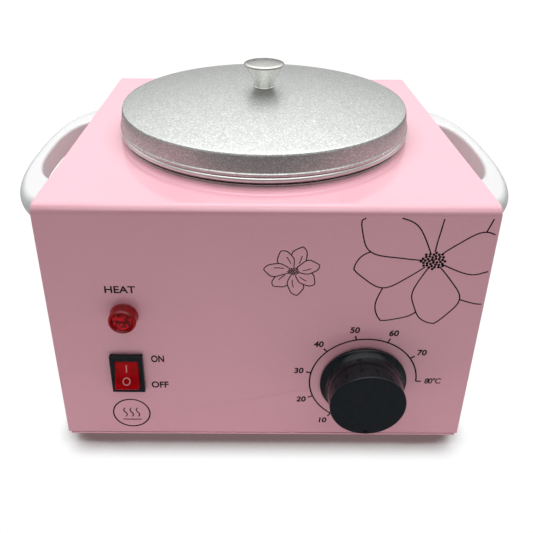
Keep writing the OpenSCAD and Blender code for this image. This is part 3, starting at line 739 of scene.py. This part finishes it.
def lid_finial():
    """Flared, polished knob with a soft shoulder and a shallow crown."""
    low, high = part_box("lid_knob")
    wide = (high.x - low.x) / 2 / MM
    tall = (high.z - low.z) / MM
    waist, waist_h, steps = 5.5, 2.4, 14
    crown_r, crown_rise = wide - 1.5, 1.1
    flare = []
    for k in range(steps + 1):
        t = k / steps
        flare.append((waist + (wide - 0.45 - waist) * t ** 1.15, waist_h + (tall - 5.0) * t, 0.0))
    crown = [(r, h, 0.0) for r, h in dome(crown_r, tall - crown_rise, tall, steps)][::-1]
    foot = [(0.0, 0.0, 0.0), (5.3, 0.0, 0.2), (5.5, 0.6, 0.15), (5.05, 0.75, 0.1), (5.1, 1.1, 0.1)]
    rim = [(wide - 0.75, tall - 2.45, 0.1), (wide - 0.7, tall - 2.2, 0.1), (wide - 0.1, tall - 2.1, 0.2),
           (wide, tall - 1.6, 0.3), (wide - 0.7, tall - 1.25, 0.4)]
    profile = fillet(foot + flare + rim + crown, 4)
    bm = bmesh.new()
    lathe(bm, profile, Vector((0, 0, low.z)), segments=128)
    finial = finish_piece("lid_finial", bm, "lid", POLISHED, 60.0, "lid_knob")
    # The crown's faces take the darker metal: painted shade on the finial's top.
    finial.data.materials.append(SHADED_CROWN)
    for face in finial.data.polygons:
        across = math.hypot(face.center.x, face.center.y)
        if across < crown_r * MM and face.center.z > high.z - (crown_rise + 0.05) * MM:
            face.material_index = 1


def pot_shell():
    """Spun pot with a rounded bottom corner and a rolled rim."""
    low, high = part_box("wax_pot")
    rim = high.x / MM
    floor = low.z / MM
    top = high.z / MM
    wall = 1.2
    body_r = 70.8
    roll = 1.62
    rolled = list(arc(rim - roll, top - roll, roll, 100, -215, 24))
    outside = [(0.0, floor, 0.0), (body_r, floor, 6.0), (body_r, top - wall, 0.6),
               (rim - 2.6 * roll, top - wall, 0.0)]
    lining = [(rim - roll, top, 0.0), (body_r - wall, top, 1.0), (body_r - wall, floor + 1.5, 4.8),
              (0.0, floor + 1.5, 0.0)]
    profile = fillet(outside, 8) + rolled[::-1] + fillet(lining, 8)[1:]
    bm = bmesh.new()
    lathe(bm, profile, Vector((0, 0, 0)), segments=256)
    finish_piece("pot_shell", bm, "pot", TURNED, 45.0, "wax_pot")


lid_shell()
lid_finial()
pot_shell()


# ---- controls


def knob_cap():
    """Thermostat knob: stepped flange, straight grip with a soft edge and a marker dimple."""
    low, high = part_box("control_knob")
    flange = (high.x - low.x) / 2 / MM
    grip = flange - 2.8
    gap = (FRONT - high.y) / MM
    out = (FRONT - low.y) / MM
    spot = on_wall("control_knob", FRONT)
    hollow_r, hollow, boss, bore = 15.6, 9.0, 6.0, 3.05
    face = fillet([
        (bore, gap + 2.5, 0.0), (boss, gap + 2.5, 0.3), (boss, hollow, 0.5), (hollow_r, hollow, 0.5),
        (hollow_r, gap, 0.2), (flange - 0.1, gap, 0.25), (flange, 1.6, 0.5), (flange - 1.0, 2.3, 0.4),
        (grip + 1.3, 2.75, 0.5), (grip + 0.35, 3.7, 0.8), (grip - 0.05, 5.6, 0.8),
        (grip - 0.2, out, 0.85), (grip - 2.0, out, 0.0), (0.0, out, 0.0),
    ], 6)
    bm = bmesh.new()
    lathe(bm, [(0.0, 11.0), (bore, 11.0)] + face, spot, OUT, 192)
    cap = finish_piece("knob_cap", bm, "knob", BLACK, 50.0, "control_knob")
    dimple = bmesh.new()
    radius, deep, above = 1.2, 0.95, 0.4
    bowl = [pi / 2 * k / 8 for k in range(1, 9)]
    cup = [(0.0, -deep)] + [(radius * sin(a), 0.02 - deep * cos(a)) for a in bowl]
    cup += [(radius, above), (0.0, above)]
    dimple_at = spot + Vector((0, -out * MM, -(grip - 2.2) * MM))
    lathe(dimple, cup, dimple_at, OUT, 48)
    cutter = finish_piece("dimple_cutter", dimple, "knob", BLACK)
    cut = cap.modifiers.new("dimple", "BOOLEAN")
    cut.object = cutter
    cut.solver = "EXACT"
    apply_modifiers(cap)
    bpy.data.objects.remove(cutter)
    # The dimple's faces take the dark ink: painted shade in the recess.
    cap.data.materials.append(INK_AND_SHADE)
    for face in cap.data.polygons:
        offset = face.center - dimple_at
        if face.normal.y < -0.999 and abs(offset.y) < 0.01 * MM:
            face.use_smooth = False
        elif math.hypot(offset.x, offset.z) < (radius + 0.1) * MM and offset.y < (deep + 0.15) * MM:
            face.material_index = 1


def rocker_cap():
    """Rocker with a dished face, rounded ends and the usual line and ring marks."""
    joint = next(j for j in frame["joints"] if j["name"] == "rocker_tilt")
    pivot = Vector(joint["pos_m"])
    tilt = math.radians(joint["range_deg"][1] / 2)
    turned = Matrix.Translation(pivot) @ Matrix.Rotation(-tilt, 4, "X")
    wide = 10.5 * MM
    half, end_out, dish, heel = 6.5, 4.3, 3.5, 3.0
    end_r = math.hypot(half, end_out)

    def face_out(z):
        """How far the dished face stands out from the pivot at height z."""
        return dish + (end_out - dish) * (abs(z) / half) ** 1.5

    face = [(half * k / 8, face_out(half * k / 8)) for k in range(-8, 9)]
    start = math.degrees(math.asin(end_out / end_r))
    stop = -math.degrees(math.asin(heel / end_r))
    ends = list(arc(0, 0, end_r, start, stop, 8))[1:]
    side = face + ends + [(-z, out) for z, out in ends[::-1]]
    outline = [Vector((0, -out * MM, z * MM)) for z, out in side]
    bm = bmesh.new()
    prism(bm, outline, Vector((-wide / 2, 0, 0)), Vector((wide / 2, 0, 0)))
    bm.transform(turned)
    soften(finish_piece("rocker_cap", bm, "rocker", ROCKER_RED, 35.0, "rocker"), 0.35 * MM, 3, 50.0)
    pins = bmesh.new()
    pin_r, pin_end = 0.9, 5.9
    lathe(pins, [(0.0, -pin_end), (pin_r, -pin_end), (pin_r, pin_end), (0.0, pin_end)], pivot, ACROSS, 32)
    finish_piece("rocker_pins", pins, "rocker", ROCKER_RED, node="rocker")

    marks = bmesh.new()
    thick = 0.06
    line = [(-0.25, 1.2), (0.25, 1.2), (0.25, 4.8), (-0.25, 4.8)]
    outline = [Vector((x, -face_out(z), z)) * MM for x, z in line]
    prism(marks, outline, Vector((0, 0.05 * MM, 0)), Vector((0, -thick * MM, 0)))
    ring_z, ring_r, stroke, steps = -3.0, 1.85, 0.52, 40
    inner_r = ring_r - stroke
    quads = []
    for k in range(steps):
        a = 2 * pi * k / steps
        corners = []
        for radius, lift in ((inner_r, -0.05), (ring_r, -0.05), (ring_r, thick), (inner_r, thick)):
            x, z = radius * cos(a), ring_z + radius * sin(a)
            corners.append(marks.verts.new(Vector((x, -face_out(z) - lift, z)) * MM))
        quads.append(corners)
    bridge(marks, quads, closed=True)
    marks.transform(turned)
    finish_piece("rocker_marks", marks, "rocker", MARK)


def lens_cap():
    """Pilot lamp lens: flange, tapered wall and a front of small facets round a flat table."""
    low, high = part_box("lamp_lens")
    spot = on_wall("lamp_lens", FRONT)
    flange = (high.x - low.x) / 2 / MM
    deep = (high.y - FRONT) / MM
    out = (FRONT - low.y) / MM
    barrel = 5.0
    bm = bmesh.new()
    skirt = fillet([
        (barrel - 1, -deep, 0.0), (barrel, -deep, 0.0), (barrel, 0.05, 0.0), (flange, 0.05, 0.12),
        (flange, 0.5, 0.12), (flange - 0.15, 0.65, 0.1), (flange - 0.2, out - 0.8, 0.6),
        (flange - 0.8, out, 0.4), (flange - 1.3, out - 0.15, 0.3), (flange - 1.7, out - 1.1, 0.2),
        (flange - 2.3, out - 1.3, 0.0), (flange - 2.3, 2.9, 0.0), (barrel - 1, 2.9, 0.0),
        (barrel - 1, -deep + 0.05, 0.0),
    ], 4)
    lathe(bm, skirt, spot, OUT, 96, closed=True)
    jewel = bmesh.new()
    steps = 14
    rings = [(flange - 1.9, out - 2.2, 0.0), (flange - 1.75, out - 1.0, 0.0),
             (flange - 2.9, out - 0.55, 0.5), (1.9, out - 0.35, 0.0)]
    loops = []
    for radius, height, shift in rings:
        loop = []
        for k in range(steps):
            a = 2 * pi * (k + shift) / steps
            spoke = Vector((radius * cos(a), radius * sin(a), height)) * MM
            loop.append(jewel.verts.new(spot + OUT @ spoke))
        loops.append(loop)
    shifts = [ring[2] for ring in rings]
    for one, two, before, after in zip(loops, loops[1:], shifts, shifts[1:]):
        for k in range(steps):
            n = (k + 1) % steps
            if before == after:
                jewel.faces.new((one[k], one[n], two[n], two[k]))
            else:
                jewel.faces.new((one[k], one[n], two[n if after < before else k]))
                jewel.faces.new((two[k], two[n], one[k if after < before else n]))
    jewel.faces.new(loops[0][::-1])
    jewel.faces.new(loops[-1])
    finish_piece("lens_bezel", bm, "case", LENS_RED, 50.0, "lamp_lens")
    finish_piece("lens_jewel", jewel, "case", JEWEL_RED, 12.0, "lamp_lens")


knob_cap()
rocker_cap()
lens_cap()


# ---- cord


def cord_path():
    """The cord's line, from inside the case to the plug, from the boxes of the cord and relief."""
    low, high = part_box("power_cord")
    radius = 3.2
    y = high.y / MM - radius
    relief = centre("strain_relief")
    x, z = relief.x / MM, relief.z / MM
    bend = y - REAR / MM - 4
    inner = REAR / MM - 9
    half, mid, pitch, small = 40.0, 27.2, 7.2, 11.0
    coil = low.z / MM + radius + mid
    left = coil + pitch / 2
    outer_r, inner_r = mid + pitch / 2, mid - pitch / 2
    end_z = left - inner_r + small

    def coil_part(across, level, bend_r, start, end):
        steps = max(12, abs(end - start) // 6)
        return [(a, y, b) for a, b in arc(across, level, bend_r, start, end, steps)]

    points = [(x, inner - bend, 26.0)]
    points += [(x, a, b) for a, b in arc(inner, z - bend, bend, 180, 90, 12)]
    points += [(x, a, b) for a, b in arc(y - bend, z - bend, bend, 90, 0, 12)]
    points += coil_part(-half, left, outer_r, 180, 270)
    points += coil_part(half, coil, mid, -90, 90)
    points += coil_part(-half, left, inner_r, 90, 270)
    points += coil_part(half, end_z, small, -90, 90)
    points.append((16.0, y, end_z + small))
    return [Vector(p) * MM for p in points], radius * MM


def plug_shell():
    """Moulded plug with a waisted grip, ribs and a ringed cord sleeve."""
    low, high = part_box("plug")
    mid = (low + high) / 2
    half_y = (high.y - low.y) / 2 / MM
    half_z = (high.z - low.z) / 2 / MM
    start = low.x / MM
    sections = [
        (0.0, 1.0, 1.0), (3.0, 1.0, 1.0), (4.0, 0.96, 0.97), (10.0, 0.86, 0.84), (16.0, 0.90, 0.86),
        (21.0, 0.92, 0.74), (24.0, 0.80, 0.52), (26.0, 0.74, 0.42), (28.0, 0.82, 0.44),
        (29.0, 0.74, 0.40), (30.0, 0.82, 0.42), (31.0, 0.74, 0.38), (32.2, 0.80, 0.38),
        (33.0, 0.74, 0.35),
    ]
    bm = bmesh.new()
    loops = []
    steps = 40
    for along, thick, wide in sections:
        loop = []
        for k in range(steps):
            a = 2 * pi * k / steps
            c, s = cos(a), sin(a)
            y = math.copysign(abs(c) ** 0.45, c) * half_y * thick
            z = math.copysign(abs(s) ** 0.45, s) * half_z * wide
            loop.append(bm.verts.new(Vector((start + along, mid.y / MM + y, mid.z / MM + z)) * MM))
        loops.append(loop)
    loft(bm, loops)
    rib, rib_out, rib_half, rib_pitch = 0.9 * MM, 0.5 * MM, 5.0 * MM, 2.2
    for k in range(5):
        x = (start + 6 + rib_pitch * k) * MM
        for side in (-1, 1):
            y = mid.y + side * (half_y * 0.90 - 0.15) * MM
            corners = ((0, -1), (1, -1), (1, 1), (0, 1))
            outline = [Vector((x + a * rib, y, mid.z + b * rib_half)) for a, b in corners]
            prism(bm, outline, Vector((0, 0, 0)), Vector((0, side * rib_out, 0)))
    finish_piece("plug_shell", bm, "case", CORD, 40.0, "plug")


def relief_shell():
    """Ringed bushing that grips the cord in the back wall."""
    spot = on_wall("strain_relief", REAR)
    inner = (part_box("strain_relief")[0].y - REAR) / MM
    bore = 3.3
    profile = fillet([
        (bore, inner, 0.0), (5.9, inner, 0.3), (5.9, 0.05, 0.0), (8.5, 0.05, 0.2), (8.5, 1.3, 0.5),
        (6.9, 1.85, 0.3), (6.4, 2.2, 0.2), (6.4, 2.7, 0.2), (5.9, 2.9, 0.1), (5.9, 3.1, 0.1),
        (6.2, 3.3, 0.15), (6.0, 3.8, 0.3), (bore, 3.8, 0.2), (bore, inner + 0.05, 0.0),
    ], 4)
    bm = bmesh.new()
    lathe(bm, profile, spot, BACK, 96, closed=True)
    finish_piece("relief_bushing", bm, "case", BLACK, node="strain_relief")


tube("supply_cord", *cord_path(), "case", CORD, "power_cord")
plug_shell()
relief_shell()
soften(frame["nodes"]["cord_tie"], 0.35 * MM, 2)


# ---- print on the panel

PRINT_THICK = 0.05 * MM


def on_panel(x, z, lift=0.0):
    """A point on the control panel; x and z in millimetres, z from the panel's lower edge."""
    return Vector((x * MM, FRONT - lift, PANEL_LOW + z * MM))


def panel_spot(node):
    """Where a node's middle stands on the control panel."""
    middle = centre(node)
    return middle.x / MM, (middle.z - PANEL_LOW) / MM


def ribbon(bm, points, width):
    """A thin printed line through (x, z) points, in millimetres."""
    points = [Vector(p) for p in points]
    closed = (points[0] - points[-1]).length < 1e-6
    if closed:
        points = points[:-1]
    n = len(points)
    corners = ((-1, 0), (1, 0), (1, PRINT_THICK), (-1, PRINT_THICK))
    rows = []
    for i, p in enumerate(points):
        before = points[i - 1] if closed or i > 0 else None
        after = points[(i + 1) % n] if closed or i < n - 1 else None
        run_in = (p - before).normalized() if before is not None else (after - p).normalized()
        run_out = (after - p).normalized() if after is not None else run_in
        tangent = run_in + run_out
        tangent = tangent.normalized() if tangent.length > 1e-4 else run_out
        normal = Vector((-tangent.y, tangent.x))
        stretch = 1 / max(0.5, abs(normal.dot(Vector((-run_out.y, run_out.x)))))
        offset = normal * width / 2 * stretch
        rows.append([bm.verts.new(on_panel(*(p + s * offset), lift)) for s, lift in corners])
    if closed:
        bridge(bm, rows, closed=True)
    else:
        loft(bm, rows)


def disc(bm, x, z, radius):
    """A printed dot."""
    outline = [on_panel(*point) for point in list(arc(x, z, radius, 0, 360, 14))[:-1]]
    prism(bm, outline, Vector((0, 0, 0)), Vector((0, -PRINT_THICK, 0)))


def lettering(bm, text, x, z, tall, slant=0.0, bold=0.0, narrow=1.0, spacing=1.0):
    """Plain text centred on a point of the panel; tall is the height of a capital."""
    font = bpy.data.curves.new("lettering", "FONT")
    font.body = text
    font.size = tall / 0.69
    font.align_x = "CENTER"
    font.align_y = "CENTER"
    font.shear = slant
    font.offset = bold
    font.space_character = spacing
    font.extrude = PRINT_THICK / MM / 2
    holder = bpy.data.objects.new("lettering", font)
    mesh = bpy.data.meshes.new_from_object(holder)
    bpy.data.objects.remove(holder)
    place = Matrix.Translation(on_panel(x, z, PRINT_THICK / 2)) @ OUT.to_4x4()
    place = place @ Matrix.Diagonal((MM * narrow, MM, MM, 1.0))
    mesh.transform(place)
    bm.from_mesh(mesh)
    bpy.data.meshes.remove(mesh)


def dial_print():
    """Printed temperature scale round the knob: an arc with eight ticks and their numbers."""
    x, z = panel_spot("control_knob")
    scale_r, line, tick, step = 24.7, 0.68, 2.4, 33.75
    bm = bmesh.new()
    ribbon(bm, list(arc(x, z, scale_r, 0, 7 * step, 96)), line)
    for i in range(8):
        a = math.radians(i * step)
        reach = scale_r + tick
        ribbon(bm, [(x + r * cos(a), z + r * sin(a)) for r in (scale_r, reach)], line)
        label = str(80 - 10 * i) + ("°C" if i == 0 else "")
        near = reach + 3.0 + (2.4 if i == 0 else 0.5 * abs(cos(a)))
        bold, wide, gap = (0.07, 0.93, 0.86) if i == 0 else (0.13, 1.0, 1.0)
        left = 0.8 if i == 7 else 0.0
        spot = x + near * cos(a) - left, z + near * sin(a)
        lettering(bm, label, *spot, 3.0, 0.08, bold, wide, gap)
    bmesh.ops.remove_doubles(bm, verts=bm.verts, dist=0.0002 * MM)
    finish_piece("dial_print", bm, "case", INK_AND_SHADE)


def label_print():
    """Plain words beside the switch and lamp."""
    sx, sz = panel_spot("switch_housing")
    lx, lz = panel_spot("lamp_lens")
    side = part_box("switch_housing")[1].x / MM - sx
    bm = bmesh.new()
    lettering(bm, "HEAT", lx - 0.8, lz + 13.5, 3.5, 0.0, 0.09, 1.07)
    lettering(bm, "ON", sx + side + 6.6, sz + 7.6, 3.6, 0.0, 0.15, 0.74)
    lettering(bm, "OFF", sx + side + 6.7, sz - 8.0, 3.5, 0.0, 0.13, 0.9)
    finish_piece("label_print", bm, "case", INK_AND_SHADE)


def heat_mark():
    """A plain round mark with three rising waves under the switch."""
    x = panel_spot("switch_housing")[0] - 0.5
    z, radius = 12.6, 8.7
    bm = bmesh.new()
    ribbon(bm, list(arc(x, z, radius, 0, 360, 64)), 0.65)
    for shift in (-3.0, 0.0, 3.0):
        wave = [(x + shift + 0.75 * sin(t / 10 * 2 * pi), z - 2.4 + 0.56 * t) for t in range(11)]
        ribbon(bm, wave, 0.5)
    ribbon(bm, [(x - 4.4, z - 4.2), (x + 4.4, z - 4.2)], 0.5)
    finish_piece("heat_mark", bm, "case", INK_AND_SHADE)


def petal(x, z, angle, length, width, lean, wave):
    """Closed outline of one broad petal: narrow at the root, bent by lean and wavy at the rim."""
    points = []
    steps = 36
    for k in range(2 * steps + 1):
        t = k / steps if k <= steps else 2 - k / steps
        side = 1 if k <= steps else -1
        swell = sin(pi * t ** 1.35) ** 0.75 if 0 < t < 1 else 0.0
        ripple = 1 + wave * sin(9.5 * t + 1.7 * side) * t
        u = length * (t - 0.03 * wave * sin(14 * t + side))
        v = side * width / 2 * swell * ripple + lean * length * t * t
        c, s = cos(angle), sin(angle)
        points.append((x + u * c - v * s, z + u * s + v * c))
    points[-1] = points[0]
    return points


def inside(point, outline):
    """True if a point lies in a closed outline."""
    px, pz = point
    hit = False
    for (x0, z0), (x1, z1) in zip(outline, outline[1:]):
        if (z0 > pz) != (z1 > pz) and px < (x1 - x0) * (pz - z0) / (z1 - z0) + x0:
            hit = not hit
    return hit


def draw_hidden(bm, points, covers, width, window):
    """Draws the stretches of a line that no nearer shape covers and that lie in the window."""
    run = []
    for p in points + [None]:
        shown = p is not None and not any(inside(p, c) for c in covers)
        shown = shown and window[0] < p[0] < window[1] and window[2] < p[1] < window[3]
        if shown:
            run.append(p)
        else:
            if len(run) > 2:
                ribbon(bm, run, width)
            run = []


def dense(points, gap=0.35):
    """The same line with points no further apart than gap."""
    made = []
    for a, b in zip(points, points[1:]):
        a, b = Vector(a), Vector(b)
        pieces = max(1, int((b - a).length / gap))
        made += [tuple(a.lerp(b, k / pieces)) for k in range(pieces)]
    return made + [tuple(points[-1])]


def flower(bm, x, z, petals, eye, width, window, veins=()):
    """A plain flower. petals are (angle, length, width, lean, wave), nearest first."""
    covers = [list(arc(x, z, eye * 0.9, 0, 360, 24))]
    for degrees, length, wide, lean, wave in petals:
        a = math.radians(degrees)
        outline = dense(petal(x, z, a, length, wide, lean, wave))
        draw_hidden(bm, outline, covers, width, window)
        for share, start, stop in veins:
            vein = []
            for k in range(14):
                t = start + (stop - start) * k / 13
                u, v = length * t, wide * share * sin(pi * t) + lean * length * t * t
                vein.append((x + u * cos(a) - v * sin(a), z + u * sin(a) + v * cos(a)))
            draw_hidden(bm, dense(vein), covers, width * 0.8, window)
        covers.append(outline)
    seeds = 40
    for k in range(seeds):
        a = 2.4 * k
        r = eye * math.sqrt(k / seeds)
        disc(bm, x + 1.15 * r * cos(a), z + 0.95 * r * sin(a), eye * 0.135)


def evenly(count, start, length, wide):
    """Evenly spaced petals that lean and ripple a little, in turn."""
    petals = []
    for k in range(count):
        turn = k * 3 % count
        sway = 0.06 if turn % 2 else -0.04
        petals.append((start + 360 * turn / count, length * (1.05 if turn % 2 else 0.95), wide, sway, 0.15))
    return petals


def flower_print():
    """Two plain line-drawn flowers: a small whole one and a large one cut off by the panel's corner."""
    high = (TOP - PANEL_LOW) / MM
    wide = SIDE / MM
    window = (-wide, wide - 1.2, 2.0, high - 4.5)
    bm = bmesh.new()
    small = evenly(7, 18, 12.0, 6.6)
    flower(bm, 11.8, 94.6, small, 2.1, 0.42, window, ((-0.15, 0.34, 0.66),))
    large = evenly(8, 10, 35.0, 20.0)
    flower(bm, 70.0, 100.2, large, 4.6, 0.56, window)
    bmesh.ops.remove_doubles(bm, verts=bm.verts, dist=0.0002 * MM)
    finish_piece("flower_print", bm, "case", INK_AND_SHADE)


dial_print()
label_print()
heat_mark()
flower_print()


# ---- stage, light and camera


def floor():
    bm = bmesh.new()
    bmesh.ops.create_circle(bm, cap_ends=True, radius=12.0, segments=96)
    mesh = bpy.data.meshes.new("floor")
    bm.to_mesh(mesh)
    bm.free()
    mesh.materials.append(floor_paint().mat)
    made = bpy.data.objects.new("floor", mesh)
    made.location.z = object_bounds()[0].z - 0.02 * MM
    show(made)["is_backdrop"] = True


def softbox():
    """A wide soft light above, a little behind the pot."""
    data = bpy.data.lights.new("overhead", "AREA")
    data.shape = "RECTANGLE"
    data.size = 1.3
    data.size_y = 0.54
    data.energy = 12.0
    made = show(bpy.data.objects.new("overhead", data))
    made.location = (0.0, 0.19, 1.0)
    made.visible_glossy = False


def surroundings():
    """A light tent: bright behind and overhead, dark on the camera's side, white to the eye."""
    world = bpy.data.worlds.new("room")
    world.use_nodes = True
    graph = Graph(world.node_tree)
    background = world.node_tree.nodes["Background"]
    x, y, z = graph.split(graph.node("ShaderNodeTexCoord").outputs["Generated"])

    def ramp(output, start, end, low, high):
        return graph.remap(output, low, high, start, end, "SMOOTHSTEP")

    behind = graph.math("MULTIPLY", ramp(y, -0.30, 0.45, 0.0, 1.0), ramp(z, 0.04, 0.64, 0.16, 1.42))
    beside = ramp(graph.math("ABSOLUTE", x), 0.35, 0.95, 0.06, 0.42)
    overhead = ramp(z, 0.60, 0.95, 0.0, 1.6)
    in_front = graph.math("MULTIPLY", ramp(y, -0.10, -0.45, 0.0, 1.5), ramp(z, 0.35, 0.6, 0.0, 1.0))
    tent = graph.math("ADD", behind, graph.math("ADD", beside, overhead))
    # Diffuse surfaces see the tent dimmed and the patch in front not at all
    ray = graph.node("ShaderNodeLightPath").outputs
    softer = graph.math("SUBTRACT", 1.0, graph.math("MULTIPLY", ray["Is Diffuse Ray"], 0.8))
    shine = graph.math("MULTIPLY", in_front, graph.math("SUBTRACT", 1.0, ray["Is Diffuse Ray"]))
    light = graph.math("ADD", graph.math("MULTIPLY", tent, softer), shine)
    graph.link(graph.math("MAXIMUM", light, ray["Is Camera Ray"]), background.inputs["Strength"])
    background.inputs["Color"].default_value = (1.0, 1.0, 1.0, 1.0)
    bpy.context.scene.world = world


def camera():
    """The viewpoint: in front, a little left of the middle and looking down."""
    data = bpy.data.cameras.new("camera")
    data.lens = 39.9
    data.shift_x = 0.0241
    data.shift_y = -0.1725
    data.clip_start = 0.01
    made = show(bpy.data.objects.new("camera", data))
    made.location = Vector((-5.14, -299.9, 237.8)) * MM + Vector((0, 0, PANEL_LOW))
    pitch, roll = math.radians(25.35), 0.005
    turn = Matrix.Rotation(pi / 2 - pitch, 3, "X") @ Matrix.Rotation(roll, 3, "Z")
    made.rotation_euler = turn.to_euler()
    bpy.context.scene.camera = made


floor()
surroundings()
softbox()
camera()
bpy.context.scene.view_settings.view_transform = "Standard"
